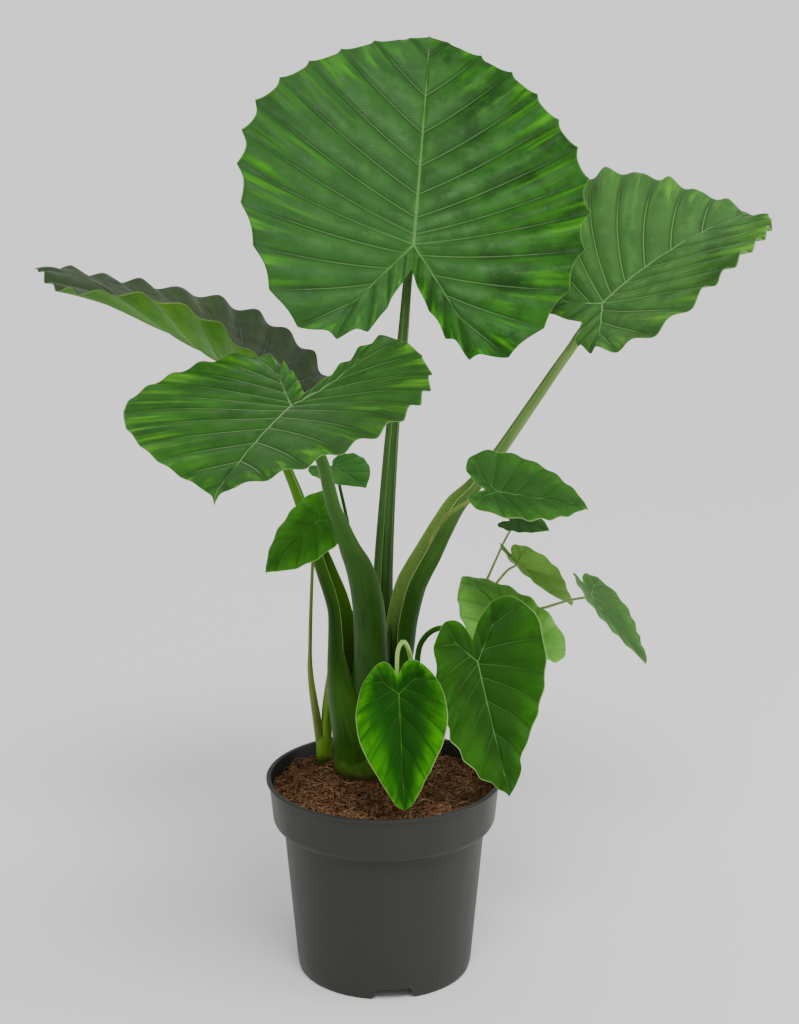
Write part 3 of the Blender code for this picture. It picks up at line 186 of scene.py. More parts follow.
SMALL_LEAVES = {
    "leaflet_front": dict(
        joint=(16, -110, 371), turns=(-77, -78, -2), length=128, sinus=-15, halves=(HEART, HEART),
        fold=(10, 12), droop=-0.1, lobe_droop=(1.9, 1.7), veins=(4, 2), wave=1, hook=0.01,
        crests=((0, 1, 0.6, 1, 0.5, 0), (0, 0.6, 1, 0.7, 0.5, 0)),
        colours="0f3e04 184f07 143c08 43a006 3f7a22 5d8a3c"),
    "leaflet_front_right": dict(
        joint=(103, -60, 390), turns=(-51, -70, 11), length=152, sinus=-17,
        halves=(LONG_HEART_LEFT, LONG_HEART_RIGHT), fold=(11, 7), droop=-0.5, lobe_droop=(0.8, 1.8),
        veins=(5, 2), wave=3.4, scallop=1.2, hook=0.01,
        crests=((0.2, 1.2, 0.5, 1.1, 0.6, 1.2, 1, 0.3, 0),
                (0.2, 1.3, 0.6, 1.2, 0.5, 1, 0.8, 0.3, 0)),
        colours="1c4209 27540f 1e4410 2f6c0f 5c8a44 5d8a3c"),
    "leaflet_behind": dict(
        joint=(157, 5, 392), turns=(137, 42, -16), length=114, sinus=-12, halves=(WIDE_HEART, WIDE_HEART),
        fold=(5, -12), droop=3.8, lobe_droop=(1.7, 2.1), veins=(4, 2), wave=2.6, scallop=0.4,
        crests=((0.2, 1, 0.6, 1.2, 0.8, 0), (0.2, 0.7, 1.2, 0.7, 0.9, 0)),
        colours="568f36 72b04c 659a44 86cf56 8ab072 5d8a3c"),
    "leaflet_right_high": dict(
        joint=(124, -30, 576), turns=(7, -12, 29), length=105, sinus=-13, halves=(WIDE_HEART, WIDE_HEART),
        fold=(14, 16), droop=-0.6, lobe_droop=(-0.1, 0.5), veins=(4, 2), wave=2, scallop=0.3, hook=0.06,
        crests=((0.2, 1, 0.5, 1.1, 0.7, 0), (0.2, 0.8, 1.1, 0.6, 0.8, 0)),
        colours="274f1b 376528 2e5222 447a2a 5c8c4c 5d8a3c"),
    "leaflet_hidden": dict(
        joint=(150, 85, 510), turns=(-25, -6, 20), length=44, sinus=-12, halves=(WIDE_HEART, WIDE_HEART),
        fold=(9, 10), droop=0.8, lobe_droop=(1, 1), veins=(3, 2), wave=0.8,
        crests=((0, 1, 0.8, 0), (0, 0.8, 1, 0)),
        colours="27481d 305824 2b4a22 386428 4c7040 2c451f"),
    "leaflet_pale": dict(
        joint=(153, 45, 472), turns=(24, -53, -15), length=97, sinus=-15, halves=(HEART, HEART),
        fold=(21, 27), droop=-5.3, lobe_droop=(-0.8, -0.8), veins=(3, 2), wave=1,
        crests=((0, 1, 0.8, 0), (0, 0.8, 1, 0)),
        colours="528e3a 68a646 5f9546 7abb51 94b268 7aad49"),
    "leaflet_far_right": dict(
        joint=(235, 25, 440), turns=(-49, -42, -22), length=103, sinus=-17, halves=(HEART, HEART),
        fold=(19, 14), droop=-2.3, lobe_droop=(-0.4, -0.1), veins=(4, 2), wave=1.2,
        crests=((0, 1, 0.7, 0.9, 0), (0, 0.8, 1, 0.6, 0)),
        colours="36592b 466c37 3f6033 55863c 7c9c64 5d8a3c"),
    "leaflet_left": dict(
        joint=(-72, 0, 535), turns=(-168, -41, -26), length=83, sinus=-19, halves=(WIDE_HEART, WIDE_HEART),
        fold=(-4, -1), droop=0.5, lobe_droop=(0.7, 0.9), veins=(3, 2), wave=1.4,
        crests=((0, 1, 0.7, 0.9, 0), (0, 0.8, 1, 0.6, 0)),
        colours="2b6116 3f811f 34691d 4e9e28 5a8c42 5d8a3c"),
    "leaflet_back": dict(
        joint=(-54, 50, 583), turns=(-56, -7, 14), length=62, sinus=-12, halves=(WIDE_HEART, WIDE_HEART),
        fold=(6, 9), droop=0.9, lobe_droop=(1, 1), veins=(3, 2), wave=0.8,
        crests=((0, 1, 0.8, 0), (0, 0.8, 1, 0)),
        colours="326624 417d2e 396d2e 447f30 608c4c 5d8a3c"),
}


def round_form(foot, neck):
    """The form of a plain round stalk from its radius at both ends."""
    return [(share, radius, radius, 0, 0, 0, 0) for share, radius in ((0, foot), (1, neck))]


# Stalks, lengths in millimetres: path from the crown towards the joint, the side that the back faces, how
# deep the front is grooved, and along the path the share, half width, depth of the back, length of the wings,
# how far they close round as a share, wall, and how far the section is open as a share
STALKS = {
    "leaf_top": dict(
        node="stems", back=(-0.35, 1, 0), groove=0.45, tone="grey",
        path=[(-12, 32, 262), (-4, 34, 312), (-2, 37, 383), (0, 42, 477), (10, 50, 626), (21, 52, 724),
              (27, 49, 796)],
        form=[(0, 13, 11, 10, 0, 6, 0), (0.3, 12, 11, 10, 0, 6, 0), (0.5, 9.2, 8.8, 8, 0, 5, 0),
              (0.7, 7, 7, 7, 0, 5, 0), (1, 4.4, 4.4, 4, 0, 4, 0)]),
    "leaf_right": dict(
        node="stems", back=(0.85, 0.4, -0.35), groove=0.2, tone="right",
        path=[(-6, 22, 262), (10, 22, 315), (19, 22, 376), (23, 22, 412), (31, 24, 447), (39, 27, 465),
              (52, 31, 488), (66, 36, 514), (83, 44, 541), (102, 51, 561), (132, 58, 601), (194, 78, 689),
              (210, 85, 710), (227, 88, 735)],
        form=[(0, 18, 11, 10, 0, 5, 0.9), (0.1, 20, 14.5, 13, 0, 5, 1), (0.19, 18, 14.5, 13, 0, 5, 1),
              (0.25, 16, 15.5, 14, 0, 5, 1), (0.32, 15, 16, 14, 0, 5, 1), (0.4, 13, 14.5, 13, 0, 5, 1),
              (0.51, 10.5, 10, 10, 0, 5, 1), (0.58, 8, 7.8, 6, 0, 5, 0.6), (0.65, 6.8, 6.8, 4, 0, 5, 0),
              (1, 4.8, 4.8, 4, 0, 4, 0)]),
    "leaf_front": dict(
        node="stems", back=(-0.45, -1, 0.2), groove=0.2, tone="front",
        path=[(-25, 3, 262), (-20, -7, 328), (-16, -18, 366), (-16, -30, 413), (-19, -42, 456),
              (-27, -56, 496), (-36, -67, 521), (-45, -80, 550), (-54, -92, 578), (-63, -118, 628),
              (-76, -142, 667)],
        form=[(0, 20, 12, 6, 0, 5, 0.8), (0.21, 20, 12.5, 6, 0, 4, 1), (0.41, 17.6, 12, 6, 0, 4, 1),
              (0.51, 15, 11, 5, 0, 4, 1), (0.6, 10, 9.5, 4, 0, 5, 0.6), (0.66, 8.2, 8, 4, 0, 5, 0),
              (0.82, 6.6, 6.6, 4, 0, 5, 0), (1, 4.8, 4.8, 4, 0, 4, 0)]),
    "leaf_left": dict(
        node="stems", back=(-0.92, 0.38, -0.12), groove=0.2, tone="left",
        path=[(-23.5, 20, 246), (-25.5, 20, 265), (-30, 19.5, 290), (-36, 19, 318), (-41, 21, 345),
              (-45.5, 26, 374), (-49.5, 32, 414), (-55, 38, 434), (-67, 48, 463), (-83, 62, 503),
              (-97, 75, 542), (-107, 83, 566), (-132, 108, 620), (-144, 122, 649)],
        form=[(0, 34.5, 34, 30, 0.85, 4, 1), (0.07, 36.5, 31, 28, 0.75, 4, 1),
              (0.17, 35.5, 25, 22, 0.4, 4, 1), (0.225, 32, 20.5, 16, 0.15, 4, 1),
              (0.285, 23, 16.5, 10, 0, 4, 1), (0.365, 16.5, 13, 8, 0, 4, 1), (0.42, 13.5, 11.5, 9, 0, 4, 1),
              (0.49, 10.5, 9.8, 9, 0, 4, 1), (0.57, 8.5, 8.5, 7, 0, 5, 0.8), (0.63, 6.8, 6.8, 4, 0, 5, 0),
              (0.76, 5.3, 5.3, 4, 0, 4, 0), (1, 4.2, 4.2, 4, 0, 4, 0)]),
    "leaflet_right_high": dict(
        node="stems", back=(0, -1, 0), tone="pale",
        path=[(29.6, 27, 368), (27, 25.5, 405), (30, 26, 440), (44, 26, 478), (54, 18, 512), (69, 5, 538),
              (84, -8, 553), (101, -16, 564)],
        form=round_form(3, 2.1)),
    "leaflet_back": dict(
        node="stems", back=(0, 1, 0), tone="mid",
        path=[(-21, 28, 275), (-25, 47, 400), (-38, 53, 500), (-49, 55, 557)],
        form=round_form(3, 1.8)),
    "leaflet_front": dict(
        node="offset_right_stems", back=(1, 0, 0), tone="young",
        path=[(40, 12, 250), (34, -20, 331), (31, -60, 383), (27, -78, 410), (21, -90, 424), (15, -96, 416),
              (14, -97, 395)],
        form=round_form(3.5, 2.2)),
    "leaflet_front_right": dict(
        node="offset_right_stems", back=(0, 1, 0), tone="mid",
        path=[(43, 10, 250), (38, -6, 325), (38, -21, 384), (46, -30, 409), (62, -38, 422), (82, -40, 418),
              (95, -42, 403)],
        form=round_form(4, 2.8)),
    "leaflet_behind": dict(
        node="offset_right_stems", back=(1, 0, 0), tone="pale",
        path=[(46, 16, 252), (64, 15, 294), (87, 12, 332), (114, 10, 362), (137, 10, 376)],
        form=round_form(3.5, 2.2)),
    "leaflet_hidden": dict(
        node="offset_right_stems", back=(1, 0, 0), tone="thin",
        path=[(43, 22, 252), (64, 35, 311), (96, 86, 366), (111, 104, 406), (118, 106, 427), (132, 94, 466),
              (140, 88, 487)],
        form=round_form(2.8, 1.3)),
    "leaflet_pale": dict(
        node="offset_right_stems", back=(1, 0, 0), tone="thin",
        path=[(48, 20, 252), (70, 32, 311), (100, 82, 367), (118, 100, 403), (126, 100, 423),
              (139, 76, 450), (144, 62, 460)],
        form=round_form(2.8, 1.4)),
    "leaflet_far_right": dict(
        node="offset_right_stems", back=(1, 0, 0), tone="thin",
        path=[(47, 18, 252), (73, 34, 311), (106, 70, 353), (142, 84, 385), (170, 82, 402), (188, 68, 412),
              (210, 42, 428)],
        form=round_form(2.8, 1.4)),
    "leaflet_left": dict(
        node="offset_left_stem", back=(-0.9, -0.3, 0), tone="pale",
        path=[(-73.5, 62, 240), (-78, 60, 275), (-84.5, 52, 335), (-84, 36, 392), (-80, 20, 480),
              (-78, 12, 512)],
        form=[(0, 6.2, 5.5, 4, 0, 2, 0.5), (0.15, 5.6, 4.8, 4, 0, 2, 1), (0.36, 3.4, 3.4, 2, 0, 2, 1),
              (0.42, 2.4, 2.4, 1, 0, 2, 0), (1, 1.6, 1.6, 0, 0, 2, 0)]),
}
# The dried sheath of a leaf that is gone: the same numbers as a stalk's, and it ends free
OLD_SHEATH = dict(
    node="offset_left_stem", back=(-0.75, -0.65, 0), tone="old",
    path=[(-66.5, 60.5, 238), (-67.8, 60, 262), (-67.5, 59, 290), (-64, 57, 325), (-60.5, 55, 360)],
    form=[(0, 5.8, 5, 4, 0, 2, 0.8), (0.3, 6, 4.6, 4, 0, 2, 1), (0.65, 5, 3.4, 2, 0, 1.5, 1),
          (1, 1.8, 1.6, 1, 0, 1.2, 0.4)])
# Dark and light skin, edge of the wings, inside of the sheath, skin high up, and the heights between which
# the skin turns to that
STALK_TONES = {
    "left": ("#204307", "#335c12", "#b4d088", "#5c8c24", "#4f8020", 0.42, 0.54),
    "front": ("#21430c", "#315617", "#b4d088", "#5c8c24", "#3a6423", 0.48, 0.62),
    "right": ("#22450f", "#34591c", "#b4d088", "#84aa54", "#6b8c4a", 0.50, 0.62),
    "grey": ("#2c4a20", "#456832", "#98b676", "#35560e", "#4a6c34", 0.50, 0.80),
    "mid": ("#234a0e", "#376616", "#98b868", "#376616", "#376616", 0.5, 0.6),
    "pale": ("#5f7434", "#7d9446", "#a4b874", "#7d9446", "#7d9446", 0.5, 0.6),
    "thin": ("#8ea45c", "#aabb78", "#c0cc98", "#aabb78", "#aabb78", 0.5, 0.6),
    "young": ("#86b04a", "#b0cc78", "#cfe0a0", "#b0cc78", "#b0cc78", 0.5, 0.6),
    "old": ("#5c8a24", "#86ae40", "#a8a05c", "#7ea63a", "#a8a860", 0.28, 0.36),
}


def linear(code, share=1.0):
    """Scene linear colour from a #rrggbb code, its light multiplied by a share, with full cover."""
    parts = np.array([int(code[i:i + 2], 16) for i in (1, 3, 5)]) / 255
    light = np.where(parts <= 0.04045, parts / 12.92, ((parts + 0.055) / 1.055) ** 2.4)
    return (*(share * float(c) for c in light), 1.0)


class Shader:
    """A principled material whose nodes are added one after another."""

    def __init__(self, name, roughness, specular):
        self.material = bpy.data.materials.new(name)
        self.material.use_nodes = True
        self.tree = self.material.node_tree
        self.surface = self.tree.nodes["Principled BSDF"]
        self.surface.inputs["Roughness"].default_value = roughness
        self.surface.inputs["Specular IOR Level"].default_value = specular

    def put(self, made, **values):
        """Link a node's inputs to sockets, or set their values. A space in a name is written as _."""
        for key, value in values.items():
            self.fill(made.inputs[key.replace("_", " ")], value)
        return made.outputs[0]

    def fill(self, socket, value):
        """Link a socket, or set its value."""
        if isinstance(value, bpy.types.NodeSocket):
            self.tree.links.new(value, socket)
        else:
            socket.default_value = linear(value) if isinstance(value, str) else value

    def node(self, kind, *values, **settings):
        """Add a node with its settings, and fill its inputs in order."""
        made = self.tree.nodes.new(kind)
        for key, value in settings.items():
            setattr(made, key, value)
        for socket, value in zip(made.inputs, values):
            self.fill(socket, value)
        return made

    def math(self, operation, *values):
        return self.node("ShaderNodeMath", *values, operation=operation).outputs[0]

    def times(self, first, second):
        return self.math("MULTIPLY", first, second)

    def plus(self, first, second):
        return self.math("ADD", first, second)

    def from_half(self, value):
        """How far a value's fraction is from a half."""
        return self.math("ABSOLUTE", self.math("SUBTRACT", self.math("FRACT", value), 0.5))

    def ramp(self, value, low, high, start=0.0, end=1.0):
        """A smooth step from start to end while the value goes from low to high."""
        return self.node("ShaderNodeMapRange", value, low, high, start, end,
                         interpolation_type="SMOOTHSTEP").outputs[0]

    def mix(self, factor, first, second):
        """A colour between two colours."""
        made = self.node("ShaderNodeMix", factor, data_type="RGBA")
        self.fill(made.inputs[6], first)
        self.fill(made.inputs[7], second)
        return made.outputs[2]

    def over(self, base, colour, mask, share=1.0):
        """A base with a colour laid over it, by a mask and a share of it."""
        return self.mix(mask if share == 1.0 else self.times(mask, share), base, colour)

    def value(self, name):
        """A number that the mesh carries."""
        return self.node("ShaderNodeAttribute", attribute_name=name).outputs["Fac"]

    def noise(self, vector, scale, detail=4.0, roughness=0.55):
        return self.put(self.node("ShaderNodeTexNoise", normalize=True), Vector=vector, Scale=scale,
                        Detail=detail, Roughness=roughness)

    def growth_noise(self, u, v, across, along, offset=0.0, detail=4.0):
        """Noise on the UV map, stretched by a scale for u and one for v."""
        place = self.node("ShaderNodeCombineXYZ", self.times(u, across), self.times(v, along), offset)
        return self.noise(place.outputs[0], 1.0, detail)

    def place(self):
        return self.node("ShaderNodeTexCoord").outputs["Object"]

    def uv(self):
        """The two numbers of the piece's own UV map."""
        growth = self.node("ShaderNodeUVMap", uv_map="growth").outputs[0]
        return self.node("ShaderNodeSeparateXYZ", growth).outputs[:2]

    def bump(self, height, distance, strength):
        normal = self.put(self.node("ShaderNodeBump"), Height=height, Distance=distance, Strength=strength)
        self.put(self.surface, Normal=normal)

    def colour(self, value):
        self.put(self.surface, Base_Color=value)

    def roughness(self, value):
        self.put(self.surface, Roughness=value)


def vein_pattern(make, fine):
    """Masks that follow the growth of a blade.

    u counts veins, so a vein lies where u is whole; v runs from the rib, 0, to the margin, 1. The distance
    from a vein is the distance in u times the spacing that the mesh carries, and it is compared with a width
    that narrows towards the margin. Side veins are thin lines at equal steps of reach plus that distance,
    broken up by noise.
    """
    u, v = make.uv()
    off = make.from_half(make.plus(u, 100.5))
    distance = make.times(off, make.value("spacing"))
    width = make.ramp(v, 0.0, 1.0, 0.00085 * fine, 0.00030 * fine)
    vein = make.times(make.ramp(make.math("DIVIDE", distance, width), 0.4, 1.4, 1.0, 0.0),
                      make.ramp(v, 0.60, 0.95, 1.0, 0.10))
    vein = make.times(vein, make.value("vigour"))
    rib = make.ramp(make.value("rib"), 0.35, 0.85, 1.0, 0.0)
    steps = make.plus(make.times(make.value("reach"), 210.0 / fine), make.times(distance, 260.0 / fine))
    steps = make.plus(steps, make.times(make.noise(make.place(), 70.0, 2.0), 1.6))
    side = make.times(make.ramp(make.from_half(steps), 0.02, 0.20, 1.0, 0.0),
                      make.ramp(make.noise(make.place(), 110.0, 3.0), 0.40, 0.62))
    margin = make.ramp(v, 0.988, 0.997) if fine == 1 else make.ramp(v, 0.978, 0.992)
    return u, v, off, vein, rib, side, margin


def upper_material(name, leaf, fine):
    """Satin upper face: greens that are duller by the ribs, a painted sheen that greys the left half, a paler
    painted sheen on the domes between the veins of a large leaf, yellow-green streaks towards the margin, and
    veins with painted shade in the creases beside them."""
    large = fine == 1
    make = Shader(name, 0.45, 0.10 if large else 0.06)
    u, v, off, vein, rib, side, margin = vein_pattern(make, fine)
    place = make.place()
    base = make.mix(make.ramp(make.noise(place, 26.0), 0.30, 0.70), leaf["dark"], leaf["light"])
    # The duller inner colour by the ribs is the leaf's own; on the left half the same colour is a painted
    # sheen.
    near_rib, sheen_left_half = make.ramp(v, 0.10, 0.60, 0.55, 0.0), make.ramp(u, 40.0, 60.0, 0.0, 0.65)
    base = make.over(base, leaf["inner"], make.math("MAXIMUM", near_rib, sheen_left_half))
    if large:
        # Painted sheen: paler grey-green on the domes between the veins of a large leaf, broken up by noise.
        crest_sheen = make.times(make.ramp(off, 0.08, 0.42),
                           make.ramp(make.noise(place, 34.0, 5.0, 0.6), 0.42, 0.66))
        crest_sheen = make.times(crest_sheen, make.ramp(v, 0.20, 0.90, 0.75, 0.20))
        base = make.over(base, linear(leaf["inner"], 1.45), crest_sheen)
    along = make.growth_noise(u, v, 3.3, 1.4, detail=5.0)
    patch = make.growth_noise(u, v, 0.8, 2.2, 7.0, 2.0)
    strands = make.ramp(along, 0.46, 0.70) if large else make.ramp(along, 0.25, 0.80, 0.25, 1.0)
    streak = make.times(strands, make.ramp(v, 0.30 if large else 0.35, 0.97))
    streak = make.times(streak, make.ramp(patch, 0.34, 0.60, 0.35 if large else 0.40, 1.0))
    clear = make.ramp(off, 0.03, 0.22) if large else make.ramp(off, 0.0, 0.12, 0.5, 1.0)
    base = make.over(base, leaf["streak"], make.times(streak, clear))
    # Painted shade: darker green in the creases along each vein, fading towards the margin.
    crease_shade = make.times(make.ramp(off, 0.02, 0.13, 0.55 if large else 0.22, 0.0),
                        make.ramp(v, 0.75, 1.0, 1.0, 0.2))
    base = make.over(base, linear(leaf["dark"], 0.55), crease_shade)
    base = make.over(base, leaf["vein"], vein, 0.60 if large else 0.40)
    base = make.over(base, leaf["vein"], rib, 0.75)
    edge = (leaf["vein"], margin, 0.60) if large else ("#9dbb74", margin, 0.80)
    make.colour(make.over(base, *edge))
    make.roughness(make.ramp(make.noise(place, 60.0, 3.0), 0.3, 0.7, 0.36, 0.52))
    height = make.plus(make.times(make.noise(place, 900.0, 2.0), 0.20), make.times(side, -0.35))
    make.bump(make.plus(height, make.times(make.noise(place, 180.0, 3.0), 0.8)), 0.0007, 0.6)
    return make.material


def lower_material(name, leaf, fine):
    """Dull paler lower face with raised pale veins."""
    make = Shader(name, 0.55, 0.12)
    u, v, _, vein, rib, side, margin = vein_pattern(make, fine)
    place = make.place()
    base = make.mix(make.ramp(make.noise(place, 25.0, 3.0), 0.30, 0.70), linear(leaf["under"], 0.72),
                    leaf["under"])
    base = make.over(base, "#6f9e2a", make.ramp(make.growth_noise(u, v, 3.0, 1.5), 0.45, 0.75), 0.30)
    for colour, mask, share in (("#8fae5c", side, 0.15), ("#98b468", vein, 0.45), ("#8aa85a", rib, 0.70),
                                ("#9cba66", margin, 0.5)):
        base = make.over(base, colour, mask, share)
    make.colour(base)
    make.bump(make.plus(make.noise(place, 300.0, 3.0), side), 0.0004, 0.5)
    return make.material


def stalk_material(name, tone):
    """Waxy stalk: fine lengthwise streaks, speckled inside the sheath with painted shade low down in it, a
    pale line along the wings' edges.
    """
    dark, light, pale, inside, high, low_end, high_end = STALK_TONES[tone]
    make = Shader(name, 0.42, 0.40)
    make.put(make.surface, IOR=WAXY_IOR)
    u, v = make.uv()
    place = make.place()
    height = make.node("ShaderNodeSeparateXYZ", place).outputs[2]
    fine = make.growth_noise(u, v, 110.0, 14.0)
    broad = make.growth_noise(u, v, 7.0, 9.0, 3.0)
    base = make.mix(make.ramp(broad, 0.34, 0.66), dark, light)
    base = make.over(base, high, make.ramp(height, low_end, high_end))
    deeper = linear(dark, 0.55)
    base = make.over(base, deeper, make.ramp(fine, 0.52, 0.30, 0.0, 0.45))
    base = make.over(base, light, make.ramp(fine, 0.55, 0.75, 0.0, 0.35))
    speckle = make.ramp(make.noise(place, 650.0, 3.0, 0.7), 0.34, 0.54)
    within = make.mix(speckle, linear(inside, 0.62), inside)
    # Painted shade: the inside of the sheath darkens low down, deep in the sheath.
    within = make.over(within, deeper, make.ramp(height, 0.30, 0.46, 0.75, 0.0))
    base = make.over(base, within, make.value("inner"), 0.90)
    base = make.over(base, "#5b7f2a", make.value("foot"), 0.35)
    make.colour(make.over(base, pale, make.ramp(make.value("edge"), 0.05, 0.55, 0.0, 0.95)))
    make.roughness(make.ramp(broad, 0.3, 0.7, 0.36, 0.50))
    make.bump(fine, 0.0002, 0.4)
    return make.material


def crown_material(name, dark, light, low, soil_line):
    """Green crown with upright streaks, lighter slanting scars low down, brown where it meets the coir."""
    make = Shader(name, 0.45, 0.40)
    make.put(make.surface, IOR=WAXY_IOR)
    u, v = make.uv()
    stripes = make.growth_noise(u, v, 60.0, 30.0)
    lean = make.plus(make.times(u, 34.0), make.times(v, 260.0))
    scar = make.growth_noise(lean, u, 1.0, 6.0, 5.0, 3.0)
    base = make.mix(make.ramp(stripes, 0.34, 0.66), dark, light)
    base = make.over(base, low, make.ramp(v, 0.241, 0.268, 0.55, 0.0))
    base = make.over(base, "#86a04c", make.ramp(scar, 0.55, 0.75, 0.0, 0.50))
    base = make.over(base, dark, make.ramp(scar, 0.46, 0.30, 0.0, 0.55))
    uneven = make.plus(v, make.times(make.noise(make.place(), 90.0), 0.010))
    make.colour(make.over(base, "#33261a", make.ramp(uneven, soil_line, soil_line + 0.010, 0.85, 0.0)))
    make.bump(make.plus(stripes, scar), 0.0005, 0.5)
    return make.material


def plastic_material():
    """Matte moulded plastic with a faint grain and faint flow marks."""
    make = Shader("dark grey moulded plastic", 0.48, 0.22)
    fine = make.noise(make.place(), 700.0, 3.0)
    flow = make.put(make.node("ShaderNodeMapping"), Vector=make.place(), Scale=(9.0, 9.0, 2.0))
    marks = make.noise(flow, 3.0, 5.0)
    base = make.mix(make.ramp(marks, 0.35, 0.70), "#2d2e2a", "#31322e")
    make.colour(make.over(base, "#4c4c47", fine, 0.08))
    make.roughness(make.ramp(marks, 0.3, 0.7, 0.42, 0.56))
    make.bump(make.plus(make.times(fine, 0.5), marks), 0.00025, 0.5)
    return make.material


def coir_material():
    """Crumbly dark reddish brown bed, near black in the hollows of its crumbs: partly the coir's own dark
    colour, partly painted shade.
    """
    make = Shader("coir bed", 0.95, 0.12)
    place = make.place()
    crumbs = make.noise(place, 260.0, 5.0, 0.7)
    # Near black where the crumb bump is low: partly the coir's dark colour, partly painted shade in the gaps
    # between crumbs.
    base = make.mix(make.ramp(crumbs, 0.41, 0.59), "#0c0704", "#8f6548")
    base = make.over(base, "#2c1a10", make.ramp(make.noise(place, 40.0, 3.0), 0.50, 0.68, 0.0, 0.60))
    make.colour(make.over(base, "#b48c66", make.ramp(make.noise(place, 520.0, 2.0), 0.60, 0.68, 0.0, 0.8)))
    make.bump(crumbs, 0.0022, 1.0)
    return make.material


def fibre_material():
    """Loose fibres, each a little different in colour."""
    make = Shader("coir fibres", 0.85, 0.18)
    shade = make.value("shade")
    base = make.mix(make.ramp(shade, 0.0, 0.45), "#27150c", "#7a4f38")
    base = make.over(base, "#a87a58", make.ramp(shade, 0.45, 0.84))
    make.colour(make.over(base, "#e0c49c", make.ramp(shade, 0.84, 0.95)))
    return make.material


def link_object(name, data):
    """A new object with its data, in the scene."""
    made = bpy.data.objects.new(name, data)
    bpy.context.scene.collection.objects.link(made)
    return made


def unit(vectors):
    """Vectors brought to the length one."""
    return vectors / np.linalg.norm(vectors, axis=-1, keepdims=True)


def combined(*parts):
    """One array of points or UV pairs from coordinates that may be rows and columns."""
    return np.stack(np.broadcast_arrays(*parts), -1)


def smooth_curve(points, shares):
    """A smooth curve through the points, a cubic from each to the next, read at shares of its length."""
    knots = np.array(points, float)
    knots = np.vstack([2 * knots[0] - knots[1], knots, 2 * knots[-1] - knots[-2]])
    spans = len(knots) - 3
    at = np.linspace(0, spans, spans * 40 + 1)
    first = np.minimum(at.astype(int), spans - 1)
    u = (at - first)[:, None]
    a, b, c, d = (knots[first + k] for k in range(4))
    curve = 0.5 * (2 * b + (c - a) * u + (2 * a - 5 * b + 4 * c - d) * u ** 2
                   + (3 * b - a - 3 * c + d) * u ** 3)
    steps = np.linalg.norm(np.diff(curve, axis=0), axis=1)
    along = np.concatenate([[0.0], np.cumsum(steps)])
    along /= along[-1]
    return np.stack([np.interp(shares, along, column) for column in curve.T], -1)


def smooth_noise(x, y, scale, seed):
    """Noise between -1 and 1: random values on a square lattice, blended by a smooth step."""
    values = np.random.default_rng(seed).uniform(-1, 1, (64, 64))
    x, y = x * scale + 500, y * scale + 500
    i, j = np.floor(x).astype(int), np.floor(y).astype(int)
    u, v = x - i, y - j
    u, v = u * u * (3 - 2 * u), v * v * (3 - 2 * v)
    corners = [values[(i + a) % 64, (j + b) % 64] for a, b in ((0, 0), (1, 0), (0, 1), (1, 1))]
    low = corners[0] * (1 - u) + corners[1] * u
    high = corners[2] * (1 - u) + corners[3] * u
    return low * (1 - v) + high * v


def grid_part(points, uv, slot=0, flip=False, **values):
    """A grid of points with its UV, material slot, side and the numbers that it carries."""
    return dict(points=points, uv=uv, slot=slot, flip=flip, values=values)


def join_grids(name, parts, materials):
    """One smooth mesh object from grids. Points in the same place become one, and flat faces drop out."""
    corners, slots, start = [], [], 0
    for part in parts:
        rows, columns = part["points"].shape[:2]
        index = start + np.arange(rows * columns).reshape(rows, columns)
        quads = np.stack([index[:-1, :-1], index[1:, :-1], index[1:, 1:], index[:-1, 1:]], -1).reshape(-1, 4)
        corners.append(quads[:, ::-1] if part["flip"] else quads)
        slots.append(np.full(len(quads), part["slot"]))
        start += rows * columns
    corners, slots = np.concatenate(corners), np.concatenate(slots)
    points = np.concatenate([part["points"].reshape(-1, 3) for part in parts])
    uvs = np.concatenate([part["uv"].reshape(-1, 2) for part in parts])
    _, kept, merged = np.unique(np.round(points * 1e6).astype(np.int64), axis=0, return_index=True,
                                return_inverse=True)
    ends = merged.reshape(-1)[corners]
    real = ends != np.roll(ends, 1, axis=1)
    faces, used, kind = [], [], []
    for size in (4, 3):
        chosen = real.sum(1) == size
        mask = real[chosen]
        faces += ends[chosen][mask].reshape(-1, size).tolist()
        used.append(corners[chosen][mask])
        kind.append(slots[chosen])
    mesh = bpy.data.meshes.new(name)
    mesh.from_pydata(points[kept].tolist(), [], faces)
    layer = mesh.uv_layers.new(name="growth")
    layer.data.foreach_set("uv", uvs[np.concatenate(used)].astype(np.float32).ravel())
    mesh.polygons.foreach_set("material_index", np.concatenate(kind).astype(np.int32))
    for key in parts[0]["values"]:
        carried = np.concatenate([np.broadcast_to(part["values"][key], part["points"].shape[:2]).ravel()
                                  for part in parts])
        mesh.attributes.new(key, "FLOAT", "POINT").data.foreach_set("value", carried[kept].astype(np.float32))
    for item in materials:
        mesh.materials.append(item)
    mesh.shade_smooth()
    return link_object(name, mesh)


def finish_piece(piece, node):
    """Let a piece ride on the one body and stand for a node, whose own solid is hidden."""
    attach(piece, "root")
    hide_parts(node)


def read_leaves(table):
    """The leaves of a table, with lengths in metres, colours by name, and what most of them share."""
    for name, numbers in table.items():
        leaf = {"curl": (0, 0), "scallop": 0, "hook": 0.02, **numbers}
        for key in ("length", "wave", "scallop"):
            leaf[key] /= 1000
        leaf["joint"] = np.array(leaf["joint"]) / 1000
        for key, code in zip(("dark", "light", "inner", "streak", "vein", "under"), leaf["colours"].split()):
            leaf[key] = "#" + code
        yield name, leaf


def blade_axes(leaf):
    """The blade's right side, tip direction and upper normal, as columns."""
    heading, pitch, roll = (math.radians(turn) for turn in leaf["turns"])
    ahead = np.array([math.cos(heading), math.sin(heading), 0.0])
    tip = ahead * math.cos(pitch) + np.array([0.0, 0.0, math.sin(pitch)])
    up = -ahead * math.sin(pitch) + np.array([0.0, 0.0, math.cos(pitch)])
    right = np.cross(tip, up)
    return np.stack([math.cos(roll) * right - math.sin(roll) * up, tip,
                     math.sin(roll) * right + math.cos(roll) * up], 1)


